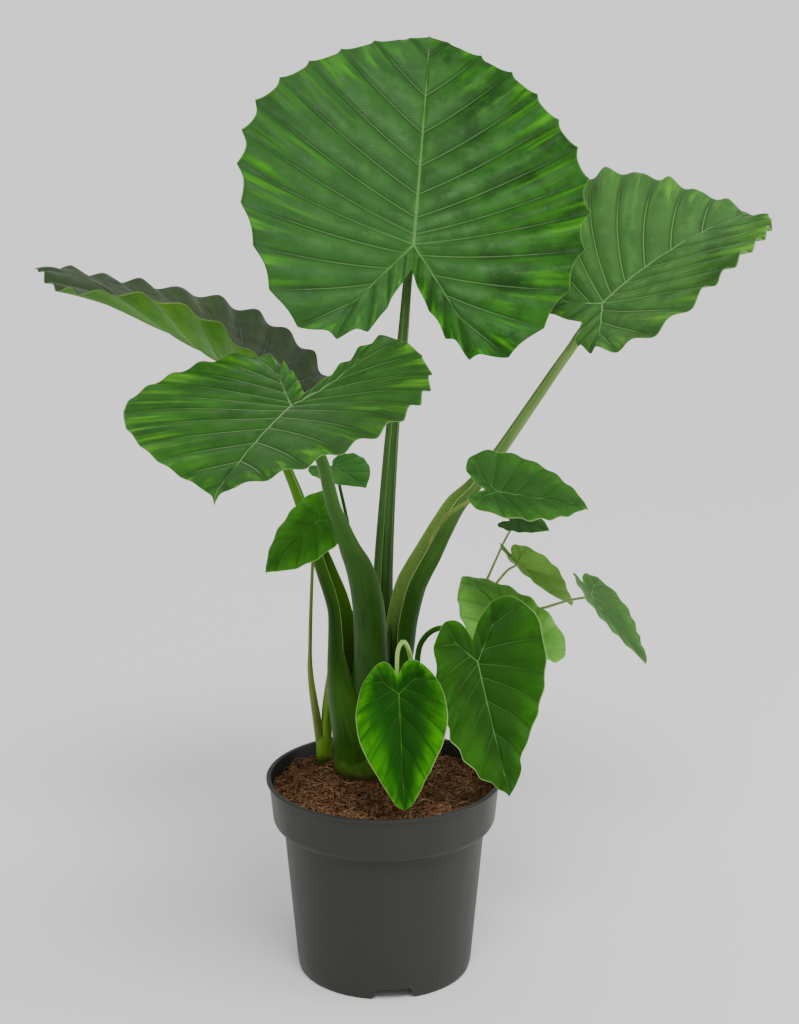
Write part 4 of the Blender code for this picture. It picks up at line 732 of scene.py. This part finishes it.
def bent_blade(leaf, side, across, along, lift):
    """Flat blade coordinates carried to their place in space.

    A half rises from the midrib by its fold and curl, and the blade then bends down along the midrib, with
    the curvature droop towards the tip and lobe_droop towards the lobes. side is -1 for left, 1 for right.
    """
    length = leaf["length"]
    half = 0 if side < 0 else 1
    towards_tip = np.clip(along / length, 0, 1)
    fold = math.radians(leaf["fold"][half]) * across / (across + FOLD_START * length)
    rise = fold + leaf["curl"][half] * (1 - towards_tip ** 2) * across / 2
    flat = across * np.cos(rise)
    height = across * np.sin(rise) + lift
    common = sum(leaf["lobe_droop"]) / 2
    own = leaf["lobe_droop"][half] - common
    bend = np.where(along > 0, leaf["droop"], common + own * np.clip(across / (0.25 * length), 0, 1))
    bend = np.where(np.abs(bend) < 1e-4, 1e-4, bend)
    angle = bend * np.abs(along)
    forward = np.sign(along) * (np.sin(angle) / bend + np.sin(angle) * height)
    down = (np.cos(angle) - 1) / bend + np.cos(angle) * height
    return leaf["joint"] + np.stack([side * flat, forward, down], -1) @ blade_axes(leaf).T


def vein_columns(veins, per_vein):
    """Growth numbers of the columns, from 0 to the count of veins, crowded where a vein runs at each half.

    With f in equal steps, the number is f - c sin(2 pi (f - 1/2)) / 2 pi.
    """
    f = np.linspace(0, veins, veins * per_vein + 1)
    return f - COLUMN_CROWDING * np.sin(2 * math.pi * (f - 0.5)) / (2 * math.pi)


def off_line(points, end, width, narrowing):
    """Distance from the line between the joint and an end, over the line's width there, which narrows."""
    share = np.clip(points @ end / (end @ end), 0, 1)
    return np.linalg.norm(points - share[..., None] * end, axis=-1) / (width * (1 - narrowing * share))


def half_grids(leaf, side, per_vein, rows, thickness):
    """Upper, lower and margin grids of one half blade.

    Columns run round the half from the tip to the sinus, and their number counts veins: a vein lies at each
    half. A column goes from the midrib, or past the joint the basal rib, to the margin along a quadratic
    curve that bends towards the tip. The upper face stands above the flat sheet by waves towards the margin,
    by a dome between veins whose height follows their spacing, by a ridge exp(-(d/w)^2) on each vein and one
    on the ribs. The lower face lies under it by the thickness and by ridges the other way.
    """
    length = leaf["length"]
    size = length / REFERENCE_LENGTH
    on_midrib, on_lobe = leaf["veins"]
    joint, last = on_midrib, on_midrib + 2 * on_lobe
    number = vein_columns(last, per_vein)
    half = 0 if side < 0 else 1
    outline = np.array([(0, 100), *leaf["halves"][half], (0, leaf["sinus"])]) / 100
    share = np.interp(number, [0, joint, joint + on_lobe, last], [0, MIDRIB_SHARE, LOBE_SHARE, 1])
    margin = smooth_curve(outline, share) * length
    lobe_end = smooth_curve(outline, np.array([LOBE_SHARE]))[0] * length * LOBE_RIB
    out = np.clip(1 - np.abs(number - joint - on_lobe) / on_lobe, 0, 1)
    up = np.clip(1 - number / joint, 0, 1) ** VEIN_CROWDING * length
    rib = np.stack([lobe_end[0] * out, up + lobe_end[1] * out], -1)
    crests = leaf["crests"][half]
    strength = np.interp(number / last, np.linspace(0, 1, len(crests)), crests)
    chord = margin - rib
    reach = np.linalg.norm(chord, axis=1)
    peak = 0.64 - np.abs(np.sin(math.pi * (number - 0.5)))
    margin = margin + chord / reach.clip(1e-6)[:, None] * (leaf["scallop"] * peak * strength)[:, None]
    margin[:, 0] = np.maximum(margin[:, 0], 0)
    chord = margin - rib
    aside = np.stack([np.abs(chord[:, 1]) * np.clip((joint - number) / 1.5, 0, 1),
                      -chord[:, 0] * np.clip(joint + on_lobe - number, 0, 1)], -1) * VEIN_BEND
    control = rib + chord / 2 + aside
    v = rows[None, :, None]
    flat = (1 - v) ** 2 * rib[:, None] + 2 * v * (1 - v) * control[:, None] + v ** 2 * margin[:, None]
    v = rows[None, :]
    spacing = np.linalg.norm(np.gradient(flat, number, axis=0), axis=-1)
    off = np.abs(number - np.floor(number) - 0.5)[:, None]
    rib_ratio = np.minimum(off_line(flat, np.array([0.0, length]), 0.0028 * size, 0.72),
                           off_line(flat, lobe_end, 0.0020 * size, 0.70))
    vigour = (np.clip((reach / length - 0.06) / 0.12, 0, 1)
              * np.interp(number, [joint + on_lobe, joint + on_lobe + 0.5], [1, 0.45]))[:, None]
    swell = np.clip((v - WAVE_START) / (1 - WAVE_START), 0, 1) ** 1.5
    ends = (np.clip(2 * number, 0, 1) * np.clip(2 * (last - number), 0, 1))[:, None]
    starts = np.clip(v / 0.05, 0, 1) * ends
    dome = DOME * np.minimum(spacing, WIDEST_DOME) * np.sin(math.pi * off) * (1 - v ** 4) * starts
    wave = -leaf["wave"] * np.cos(2 * math.pi * (number - 0.5))[:, None] * strength[:, None] * swell * ends
    vein_width = (0.0011 - 0.0007 * v) * size
    ridge = np.exp(-(off * spacing / vein_width) ** 2) * (1 - v ** 3) * vigour * starts
    towards_tip = np.clip(flat[..., 1] / length, 0, 1)
    rib_ridge = np.exp(-rib_ratio ** 2) * (1 - 0.75 * towards_tip)
    hook = leaf["hook"] * length * np.clip((towards_tip - HOOK_START) / (1 - HOOK_START), 0, 1) ** 2
    sheet = wave + dome - hook
    upper = sheet + size * (VEIN_RIDGE * ridge + RIB_RIDGE * rib_ridge)
    lower = sheet - thickness * (0.85 - 0.50 * v ** 2) - size * (LOWER_VEIN * ridge + LOWER_RIB * rib_ridge)
    across = np.maximum(flat[..., 0], 0)
    top = bent_blade(leaf, side, across, flat[..., 1], upper)
    bottom = bent_blade(leaf, side, across, flat[..., 1], lower)
    uv = combined((100 if side < 0 else 0) + number[:, None] - 0.5, v)
    carried = dict(spacing=spacing, rib=rib_ratio, reach=reach[:, None] * v, vigour=vigour + 0 * v)
    edge = {key: np.repeat(value[:, -1:], 2, axis=1) for key, value in carried.items()}
    rim = np.stack([top[:, -1], bottom[:, -1]], 1)
    flip = side < 0
    return [grid_part(top, uv, 0, flip, **carried), grid_part(bottom, uv, 1, not flip, **carried),
            grid_part(rim, np.repeat(uv[:, -1:], 2, axis=1), 0, flip, **edge)]


def leaf_blade(name, leaf, per_vein, row_count, thickness, fine):
    """A whole blade from its two halves."""
    rows = np.linspace(0, 1, row_count) ** 1.25
    parts = half_grids(leaf, -1, per_vein, rows, thickness) + half_grids(leaf, 1, per_vein, rows, thickness)
    materials = [upper_material(name + " upper face", leaf, fine),
                 lower_material(name + " lower face", leaf, fine)]
    piece = join_grids(name + "_blade", parts, materials)
    finish_piece(piece, name)


def stalk_section(form, groove):
    """Cross-sections of a stalk: across and towards the back, one row for each ring.

    A closed section is an ellipse with a groove in front. An open one is a back, half an ellipse, with two
    wings that run on past the middle by their length and close round as an ellipse does, as far as they hug;
    its inner line lies inside by the wall. Sections blend from the one to the other. a runs from -1 at one
    wing's edge to 1 at the other, outside and then back inside.
    """
    width, depth, wing, hug, wall, opening = (form[:, k:k + 1] for k in range(6))
    outside = np.sin(np.linspace(-0.5, 0.5, OUTSIDE_POINTS) * math.pi)[None, :]
    inside = np.sin(np.linspace(0.5, -0.5, INSIDE_POINTS) * math.pi)[None, :]
    limit = math.radians(CLOSED_BACK)

    def open_line(a):
        turn = np.minimum(np.abs(a) / BACK_SHARE, 1) * math.pi / 2
        past = np.clip((np.abs(a) - BACK_SHARE) / (1 - BACK_SHARE), 0, 1) * math.pi / 2
        x = width * np.sin(turn) * (1 - hug * (1 - np.cos(past)))
        return np.sign(a) * x, depth * np.cos(turn) - wing * np.sin(past)

    front = math.pi - inside * (math.pi - limit)
    closed_x = width * np.concatenate([np.sin(outside * limit), np.sin(front)], 1)
    dip = 1 - groove * (1 - inside ** 2)
    closed_y = depth * np.concatenate([np.cos(outside * limit), np.cos(front) * dip], 1)
    x, y = open_line(outside)
    inner_x, inner_y = open_line(inside)
    slope_x, slope_y = (np.gradient(line, inside[0], axis=1) for line in (inner_x, inner_y))
    slope = np.hypot(slope_x, slope_y).clip(1e-9)
    thick = EDGE_WALL + (wall - EDGE_WALL).clip(0) * (1 - np.abs(inside)) ** 1.2
    open_x = np.concatenate([x, inner_x + slope_y / slope * thick], 1)
    open_y = np.concatenate([y, inner_y - slope_x / slope * thick], 1)
    to_edge = (1 - np.abs(np.concatenate([outside, inside], 1))) / (1 - BACK_SHARE) * (wing * 1.3 + 0.002)
    edge = np.clip(1 - to_edge / EDGE_LINE, 0, 1) * (0.3 + 0.7 * opening) * (width > THIN_STALK)
    inner = np.concatenate([0 * outside, 1 + 0 * inside], 1) * opening
    return closed_x + (open_x - closed_x) * opening, closed_y + (open_y - closed_y) * opening, edge, inner


def swept_stalk(name, data, route, end, foot):
    """A section carried along a route, closed at both ends. end is the direction in which the route ends,
    where it is given, and foot the height below which the skin turns pale."""
    tangents = np.gradient(route, axis=0)
    if end is not None:
        tangents[-1] = end
    tangents = unit(tangents)
    back = np.array(data["back"], float)
    outward = unit(back - tangents * (tangents @ back)[:, None])
    across = np.cross(tangents, outward)
    along = np.concatenate([[0.0], np.cumsum(np.linalg.norm(np.diff(route, axis=0), axis=1))])
    stops = np.array(data["form"]) / FORM_UNITS
    form = np.stack([np.interp(along / along[-1], stops[:, 0], column) for column in stops.T[1:]], -1)
    x, y, edge, inner = stalk_section(form, data.get("groove", THIN_GROOVE))
    points = route[:, None] + x[..., None] * across[:, None] + y[..., None] * outward[:, None]
    points, edge, inner = (np.concatenate([part, part[:, :1]], 1) for part in (points, edge, inner))
    closing = np.broadcast_to(points.mean(1, keepdims=True), points.shape)
    points = np.concatenate([closing[:1], points, closing[-1:]])
    edge, inner = (np.pad(part, ((1, 1), (0, 0))) for part in (edge, inner))
    pale = np.clip((foot + 0.03 - points[..., 2]) / 0.03, 0, 1)
    around = np.linspace(0, 1, points.shape[1])
    uv = combined(around[None, :], along[[0, *range(len(along)), -1], None])
    part = grid_part(points, uv, 0, True, edge=edge, inner=inner, foot=pale)
    piece = join_grids(name, [part], [stalk_material(name + " skin", data["tone"])])
    finish_piece(piece, data["node"])


def leaf_stalk(name, leaf, thickness, rings):
    """A stalk carried along its path, which ends square under its blade."""
    data = STALKS[name]
    normal = blade_axes(leaf)[:, 2]
    seat = leaf["joint"] - normal * (thickness + GAP)
    neck = seat - normal * data["form"][-1][1] / 1000 * 1.6
    route = smooth_curve(np.vstack([np.array(data["path"]) / 1000, neck]), np.linspace(0, 1, rings))
    swept_stalk(name + "_stalk", data, np.vstack([route, seat]), normal, STALK_FOOT)


def old_sheath():
    """The dried sheath beside the left crown, whose top ends free."""
    route = smooth_curve(np.array(OLD_SHEATH["path"]) / 1000, np.linspace(0, 1, 40))
    swept_stalk("old_sheath", OLD_SHEATH, route, None, SHEATH_FOOT)


def crown_piece(name, place, node, skin):
    """A crown: radius over height by a smooth profile, with shallow ribs round it from sines."""
    x, y, radius, top = place
    low = SOIL_HEIGHT - CROWN_FOOT
    high = SOIL_HEIGHT + SOIL_MOUND + CROWN_SHOULDER
    profile = [(0.90, low), (0.99, low + 0.35 * (high - low)), (1.0, high), (0.95, high + 0.3 * (top - high)),
               (0.78, high + 0.65 * (top - high)), (0.50, high + 0.92 * (top - high)), (0.0, top)]
    shape = smooth_curve([(r * radius, h) for r, h in profile], np.linspace(0, 1, 40))
    turn = np.linspace(0, 2 * math.pi, 73)
    ribs = 1 + 0.012 * np.sin(5 * turn + 1.0) + 0.006 * np.sin(13 * turn)
    r = shape[:, :1].clip(0) * ribs[None, :]
    points = combined(x + r * np.cos(turn), y + r * np.sin(turn), shape[:, 1:2])
    points[:, -1] = points[:, 0]
    floor = np.broadcast_to(np.array([x, y, low]), points[:1].shape)
    points = np.concatenate([floor, points])
    uv = combined((turn / (2 * math.pi))[None, :], points[..., 2])
    finish_piece(join_grids(name, [grid_part(points, uv, 0, True)], [skin]), node)


def wall_radius(z):
    """Radius of the container's inner wall at a height."""
    radii = [BODY_FOOT_RADIUS - 0.0055, BODY_FOOT_RADIUS - WALL, SHOULDER_RADIUS - WALL,
             COLLAR_FOOT_RADIUS - WALL, COLLAR_RADIUS - WALL]
    return np.interp(z, WALL_HEIGHTS, radii)


def rounded(profile, radius, steps=4):
    """A closed profile whose corners are rounded by quadratic curves of up to the given reach."""
    corners = np.array(profile, float)
    before, after = np.roll(corners, 1, axis=0), np.roll(corners, -1, axis=0)
    reach_in = np.linalg.norm(before - corners, axis=1, keepdims=True)
    reach_out = np.linalg.norm(after - corners, axis=1, keepdims=True)
    cut = np.minimum(radius, 0.45 * np.minimum(reach_in, reach_out))
    start = corners + (before - corners) / reach_in * cut
    end = corners + (after - corners) / reach_out * cut
    t = np.linspace(0, 1, steps)[None, :, None]
    curve = (1 - t) ** 2 * start[:, None] + 2 * t * (1 - t) * corners[:, None] + t ** 2 * end[:, None]
    return curve.reshape(-1, 2)


def notch_cutter(turn):
    """A wedge through the wall at a turn round the axis, wider at its foot, that cuts a drain notch."""
    r = np.repeat([NOTCH_INNER, NOTCH_OUTER], 4)
    half = np.array([-DRAIN_SLOT_FOOT, DRAIN_SLOT_FOOT, DRAIN_SLOT_TOP, -DRAIN_SLOT_TOP] * 2) / 2
    low, high = -0.004, CHANNEL_HEIGHT + 0.0012
    z = np.array([low, low, high, high] * 2)
    points = np.stack([r * math.cos(turn) - half * math.sin(turn), r * math.sin(turn) + half * math.cos(turn),
                       z], -1)
    mesh = bpy.data.meshes.new("notch")
    mesh.from_pydata(points.tolist(), [], [(3, 2, 1, 0), (4, 5, 6, 7), (1, 5, 4, 0), (2, 6, 5, 1),
                                           (3, 7, 6, 2), (0, 4, 7, 3)])
    return link_object("notch", mesh)


def turned_mesh(name, profile, sides, material):
    """A closed surface of revolution from a closed profile of (radius, height)."""
    turn = np.linspace(0, 2 * math.pi, sides + 1)
    turn[-1] = 0
    line = np.vstack([profile, profile[:1]])
    radius, height = line[None, :, 0], line[None, :, 1]
    points = combined(radius * np.cos(turn)[:, None], radius * np.sin(turn)[:, None], height)
    uv = combined(np.linspace(0, 1, sides + 1)[:, None], height)
    return join_grids(name, [grid_part(points, uv)], [material])


def soil_height(x, y):
    """Height of the bed without its crumbs: a low mound round the crown and a rise towards the viewer."""
    near = np.exp(-((x - MAIN_CROWN[0]) ** 2 + (y - MAIN_CROWN[1]) ** 2) / 0.06 ** 2)
    towards_viewer = 0.004 * np.clip(-y / 0.12, -0.5, 1)
    clods = (np.sin(61 * x + 17 * y) * np.sin(53 * y - 23 * x + 1.3)
             + 0.6 * np.sin(127 * x - 71 * y + 0.5) * np.sin(97 * y + 43 * x))
    return SOIL_HEIGHT + SOIL_MOUND * near + towards_viewer + SOIL_BUMP * clods


class PotSettings(bpy.types.PropertyGroup):
    """Sizes of the pot's finish."""

    sides: bpy.props.IntProperty(name="Sides", description="Facets round the pot", default=192, min=48,
                                 max=512)
    edge: bpy.props.FloatProperty(name="Edge rounding", description="Reach of the rounding of moulded edges",
                                  default=0.0012, min=0.0002, max=0.004, unit="LENGTH", precision=4)


class CoirSettings(bpy.types.PropertyGroup):
    """Look of the bed of coir."""

    crumb: bpy.props.FloatProperty(name="Crumb height", description="Height of the crumbs on the bed",
                                   default=0.0040, min=0.0, max=0.01, unit="LENGTH", precision=4)
    fibres: bpy.props.IntProperty(name="Fibres", description="How many loose fibres lie on the bed",
                                  default=3200, min=0, max=6000)
    seed: bpy.props.IntProperty(name="Seed", description="Start of the random draw", default=7, min=0)


class LeafSettings(bpy.types.PropertyGroup):
    """How finely the leaves and stalks are made."""

    large_steps: bpy.props.IntProperty(name="Large leaf steps", description="Columns from vein to vein",
                                       default=18, min=6, max=24)
    large_rows: bpy.props.IntProperty(name="Large leaf rows", description="Rows from rib to margin",
                                      default=50, min=12, max=64)
    small_steps: bpy.props.IntProperty(name="Small leaf steps", description="Columns from vein to vein",
                                       default=12, min=6, max=24)
    small_rows: bpy.props.IntProperty(name="Small leaf rows", description="Rows from rib to margin",
                                      default=22, min=8, max=48)
    rings: bpy.props.IntProperty(name="Stalk rings", description="Rings along a thick stalk",
                                 default=120, min=20, max=240)


class StageSettings(bpy.types.PropertyGroup):
    """Camera and light."""

    lens: bpy.props.FloatProperty(name="Lens", description="Focal length on a 36 mm long side", default=78.93,
                                  min=20, max=200)
    floor: bpy.props.FloatVectorProperty(name="Floor", description="Colour of the floor", subtype="COLOR",
                                         size=3, default=(0.93, 0.93, 0.93), min=0, max=1)
    key: bpy.props.FloatProperty(name="Key light", description="Strength of the soft light from above",
                                 default=1.8, min=0)
    side: bpy.props.FloatProperty(name="Side light", description="Power of the light on the right",
                                  default=16.0, min=0, unit="POWER")


class PLANT_OT_pot(bpy.types.Operator):
    """Make the pot: rounded profile, turned, with notches in the foot and drain holes"""

    bl_idname = "plant.pot"
    bl_label = "Pot"

    def execute(self, context):
        settings = context.scene.plant_pot
        outside = [(0.050, 0), (0.054, CHANNEL_HEIGHT), (0.0875, CHANNEL_HEIGHT), (0.0905, 0),
                   (FOOT_RADIUS, 0), (BODY_FOOT_RADIUS - 0.0012, 0.006), (BODY_FOOT_RADIUS, 0.016),
                   (SHOULDER_RADIUS, COLLAR_LOW - 0.0075), (SHOULDER_RADIUS + 0.0035, COLLAR_LOW - 0.0045),
                   (COLLAR_FOOT_RADIUS - 0.0018, COLLAR_LOW), (COLLAR_FOOT_RADIUS, COLLAR_LOW + 0.004),
                   (COLLAR_RADIUS, POT_HEIGHT - LIP_HEIGHT - 0.0006), (RIM_RADIUS, POT_HEIGHT - LIP_HEIGHT),
                   (RIM_RADIUS, POT_HEIGHT)]
        inside = [(float(wall_radius(z)), z) for z in reversed(WALL_HEIGHTS)]
        floor = [(0.0575, FLOOR_TOP), (0.053, 0.0026), (0.0004, 0.0026), (0.0004, 0)]
        profile = rounded(outside + inside + floor, settings.edge)
        pot = turned_mesh("nursery_pot", profile, settings.sides, plastic_material())
        cutters = [notch_cutter(math.radians(DRAIN_SLOT_TURN + 360 / DRAIN_SLOTS * i))
                   for i in range(DRAIN_SLOTS)]
        for i in range(DRAIN_HOLES):
            turn = math.radians(DRAIN_SLOT_TURN + 360 / DRAIN_HOLES * (i + 0.5))
            bpy.ops.mesh.primitive_cylinder_add(
                vertices=32, radius=DRAIN_HOLE_RADIUS, depth=0.012,
                location=(DRAIN_HOLE_CIRCLE * math.cos(turn), DRAIN_HOLE_CIRCLE * math.sin(turn), FLOOR_TOP))
            cutters.append(context.object)
        for cutter in cutters:
            cut = pot.modifiers.new("cut", "BOOLEAN")
            cut.operation = "DIFFERENCE"
            cut.solver = "EXACT"
            cut.object = cutter
        shape = bpy.data.meshes.new_from_object(pot.evaluated_get(context.evaluated_depsgraph_get()))
        pot.modifiers.clear()
        pot.data = shape
        for cutter in cutters:
            bpy.data.objects.remove(cutter)
        if len(shape.polygons) < settings.sides:
            raise RuntimeError("the pot lost its faces")
        shape.shade_smooth()
        shape.set_sharp_from_angle(angle=math.radians(38))
        finish_piece(pot, "pot")
        return {"FINISHED"}


class PLANT_OT_coir(bpy.types.Operator):
    """Make the bed of coir with crumbs and loose fibres"""

    bl_idname = "plant.coir"
    bl_label = "Coir"

    def execute(self, context):
        self.bed(context.scene.plant_coir)
        self.fibres(context.scene.plant_coir)
        return {"FINISHED"}

    def bed(self, settings):
        """The surface: soil_height plus noise of three sizes. Its skirt goes
        down to the pot's floor."""
        turn = np.linspace(0, 2 * math.pi, 301)
        turn[-1] = 0
        edge = float(wall_radius(SOIL_HEIGHT - 0.004)) - 2 * GAP
        radius = (edge * np.linspace(1, 0, 130) ** 0.85)[:, None]
        x, y = radius * np.cos(turn), radius * np.sin(turn)
        crumbs = (0.55 * smooth_noise(x, y, 130, 1) + 0.35 * smooth_noise(x, y, 300, 2)
                  + 0.22 * smooth_noise(x, y, 620, 3))
        top = np.stack([x, y, soil_height(x, y) + settings.crumb * crumbs], -1)
        skirt_z = np.array([FLOOR_TOP + GAP, *WALL_HEIGHTS[1:4]])
        skirt_r = np.concatenate([[0.0], wall_radius(skirt_z) - 2 * GAP])[:, None]
        skirt_z = np.concatenate([skirt_z[:1], skirt_z])[:, None]
        skirt = combined(skirt_r * np.cos(turn), skirt_r * np.sin(turn), skirt_z)
        skirt = np.concatenate([skirt, top[:1]])
        parts = [grid_part(grid, grid[..., :2], 0, True) for grid in (top, skirt)]
        finish_piece(join_grids("coir_bed", parts, [coir_material()]), "soil")

    def fibres(self, settings):
        """Loose fibres: three-sided tubes on arcs that rise a little from the bed, placed at random."""
        draw = np.random.default_rng(settings.seed)
        count, rings = settings.fibres, 5
        reach = float(wall_radius(SOIL_HEIGHT)) - 0.006
        radius, angle = reach * np.sqrt(draw.uniform(0, 1, count)), draw.uniform(0, 2 * math.pi, count)
        centre = np.stack([radius * np.cos(angle), radius * np.sin(angle)], -1)
        length = draw.gamma(3.0, 0.0042, count).clip(0.004, 0.038)[:, None]
        heading, bend = draw.uniform(0, 2 * math.pi, count)[:, None], draw.normal(0, 1.2, count)[:, None]
        t = np.linspace(-0.5, 0.5, rings)[None, :]
        direction = heading + bend * t
        step = length / (rings - 1)
        x = centre[:, :1] + np.cumsum(np.cos(direction) * step, 1) - length / 2 * np.cos(heading)
        y = centre[:, 1:] + np.cumsum(np.sin(direction) * step, 1) - length / 2 * np.sin(heading)
        limit = np.minimum(1, reach / np.hypot(x, y).clip(1e-6))
        x, y = x * limit, y * limit
        hump = draw.uniform(-0.2, 1.0, count)[:, None] * (1 - (2 * t) ** 2) * 0.12 * length
        z = soil_height(x, y) + 0.0012 + hump + draw.uniform(-0.0015, 0.0010, count)[:, None]
        thick = (draw.uniform(0.00010, 0.00028, count)[:, None] * (1 - 0.6 * np.abs(2 * t))).clip(0.00005)
        side = np.stack([-np.sin(direction), np.cos(direction), 0 * direction], -1)[:, :, None]
        up = np.array([0.0, 0.0, 1.0])
        turns = np.radians([90, 210, 330])[None, None, :, None]
        points = (np.stack([x, y, z], -1)[:, :, None]
                  + thick[..., None, None] * (np.cos(turns) * side + np.sin(turns) * up))
        index = np.arange(count * rings * 3).reshape(count, rings, 3)
        after = np.roll(index, -1, axis=2)
        sides = np.stack([index[:, :-1], after[:, :-1], after[:, 1:], index[:, 1:]], -1).reshape(-1, 4)
        caps = np.concatenate([index[:, 0, ::-1], index[:, -1]])
        mesh = bpy.data.meshes.new("coir_fibres")
        mesh.from_pydata(points.reshape(-1, 3).tolist(), [], sides.tolist() + caps.tolist())
        shade = np.repeat(draw.uniform(0, 1, count), rings * 3).astype(np.float32)
        mesh.attributes.new("shade", "FLOAT", "POINT").data.foreach_set("value", shade)
        mesh.materials.append(fibre_material())
        mesh.shade_smooth()
        finish_piece(link_object("coir_fibres", mesh), "soil")


class PLANT_OT_crowns(bpy.types.Operator):
    """Make the crowns that the stalks grow from"""

    bl_idname = "plant.crowns"
    bl_label = "Crowns"

    def execute(self, context):
        main_skin = crown_material("main crown skin", "#223f0e", "#37591a", "#4a6f22", 0.238)
        offset_skin = crown_material("offset crown skin", "#4f7c1c", "#73a030", "#7fa83a", 0.232)
        crown_piece("main_crown", MAIN_CROWN, "stems", main_skin)
        crown_piece("right_crown", RIGHT_OFFSET, "offset_right_stems", offset_skin)
        crown_piece("left_crown", LEFT_OFFSET, "offset_left_stem", offset_skin)
        old_sheath()
        return {"FINISHED"}


class PLANT_OT_stalks(bpy.types.Operator):
    """Make the stalks with their sheaths"""

    bl_idname = "plant.stalks"
    bl_label = "Stalks"

    def execute(self, context):
        rings = context.scene.plant_leaves.rings
        for name, leaf in read_leaves(LARGE_LEAVES):
            leaf_stalk(name, leaf, LARGE_BLADE, rings)
        for name, leaf in read_leaves(SMALL_LEAVES):
            leaf_stalk(name, leaf, SMALL_BLADE, rings // 2)
        return {"FINISHED"}


class PLANT_OT_large_leaves(bpy.types.Operator):
    """Make the blades of the large leaves"""

    bl_idname = "plant.large_leaves"
    bl_label = "Large leaves"

    def execute(self, context):
        settings = context.scene.plant_leaves
        for name, leaf in read_leaves(LARGE_LEAVES):
            leaf_blade(name, leaf, settings.large_steps, settings.large_rows, LARGE_BLADE, 1.0)
        return {"FINISHED"}


class PLANT_OT_small_leaves(bpy.types.Operator):
    """Make the blades of the small leaves"""

    bl_idname = "plant.small_leaves"
    bl_label = "Small leaves"

    def execute(self, context):
        settings = context.scene.plant_leaves
        for name, leaf in read_leaves(SMALL_LEAVES):
            leaf_blade(name, leaf, settings.small_steps, settings.small_rows, SMALL_BLADE, 0.55)
        return {"FINISHED"}


class PLANT_OT_stage(bpy.types.Operator):
    """Set the floor, the soft light and the camera"""

    bl_idname = "plant.stage"
    bl_label = "Stage"

    def execute(self, context):
        settings = context.scene.plant_stage
        self.floor(settings)
        self.lights(context, settings)
        self.camera(context, settings)
        return {"FINISHED"}

    def floor(self, settings):
        """A wide pale floor."""
        reach = 60.0
        mesh = bpy.data.meshes.new("floor")
        mesh.from_pydata([(-reach, -reach, 0), (reach, -reach, 0), (reach, reach, 0), (-reach, reach, 0)], [],
                         [(0, 1, 2, 3)])
        make = Shader("pale floor", 0.9, 0.1)
        make.colour((*settings.floor, 1.0))
        mesh.materials.append(make.material)
        link_object("floor", mesh)

    def lights(self, context, settings):
        """A wide soft light from above in front, a square one on the right and an even white sky."""
        world = context.scene.world or bpy.data.worlds.new("studio")
        context.scene.world = world
        world.use_nodes = True
        background = world.node_tree.nodes["Background"]
        background.inputs["Color"].default_value = (1.0, 1.0, 1.0, 1.0)
        background.inputs["Strength"].default_value = SKY_STRENGTH
        key = bpy.data.lights.new("key", "SUN")
        key.energy = settings.key
        key.angle = math.radians(24)
        side = bpy.data.lights.new("side", "AREA")
        side.size = 1.2
        side.energy = settings.side
        for lamp, place in ((key, (0.25, -1.5, 3.1)), (side, (2.0, -0.3, 1.0))):
            made = link_object(lamp.name, lamp)
            made.location = place
            x, y, z = np.array(LIGHT_TARGET) - np.array(place)
            made.rotation_euler = (math.atan2(math.hypot(x, y), -z), 0, math.atan2(y, x) - math.pi / 2)

    def camera(self, context, settings):
        """The camera, where its height, distance and turns put it, looking at the plant."""
        data = bpy.data.cameras.new("camera")
        data.lens = settings.lens
        data.sensor_width = 36.0
        data.clip_end = 200.0
        camera = link_object("camera", data)
        camera.location = (0.0, -CAMERA_DISTANCE, CAMERA_HEIGHT)
        camera.rotation_euler = (math.radians(90 - CAMERA_PITCH), 0.0, math.radians(-CAMERA_YAW))
        context.scene.camera = camera


class PLANT_PT_panel(bpy.types.Panel):
    """The plant's pieces, in the order that they are made"""

    bl_label = "Potted plant"
    bl_idname = "PLANT_PT_panel"
    bl_space_type = "VIEW_3D"
    bl_region_type = "UI"
    bl_category = "Plant"

    def draw(self, context):
        column = self.layout.column()
        for made in OPERATORS:
            column.operator(made.bl_idname)


OPERATORS = (PLANT_OT_pot, PLANT_OT_coir, PLANT_OT_crowns, PLANT_OT_stalks, PLANT_OT_large_leaves,
             PLANT_OT_small_leaves, PLANT_OT_stage)
SETTINGS = {"plant_pot": PotSettings, "plant_coir": CoirSettings, "plant_leaves": LeafSettings,
            "plant_stage": StageSettings}


def register():
    for item in (*SETTINGS.values(), *OPERATORS, PLANT_PT_panel):
        bpy.utils.register_class(item)
    for name, item in SETTINGS.items():
        setattr(bpy.types.Scene, name, bpy.props.PointerProperty(type=item))


def unregister():
    for name in SETTINGS:
        delattr(bpy.types.Scene, name)
    for item in reversed((*SETTINGS.values(), *OPERATORS, PLANT_PT_panel)):
        bpy.utils.unregister_class(item)


def main():
    register()
    bpy.ops.plant.pot()
    bpy.ops.plant.coir()
    bpy.ops.plant.crowns()
    bpy.ops.plant.stalks()
    bpy.ops.plant.large_leaves()
    bpy.ops.plant.small_leaves()
    bpy.ops.plant.stage()


if __name__ == "__main__":
    main()
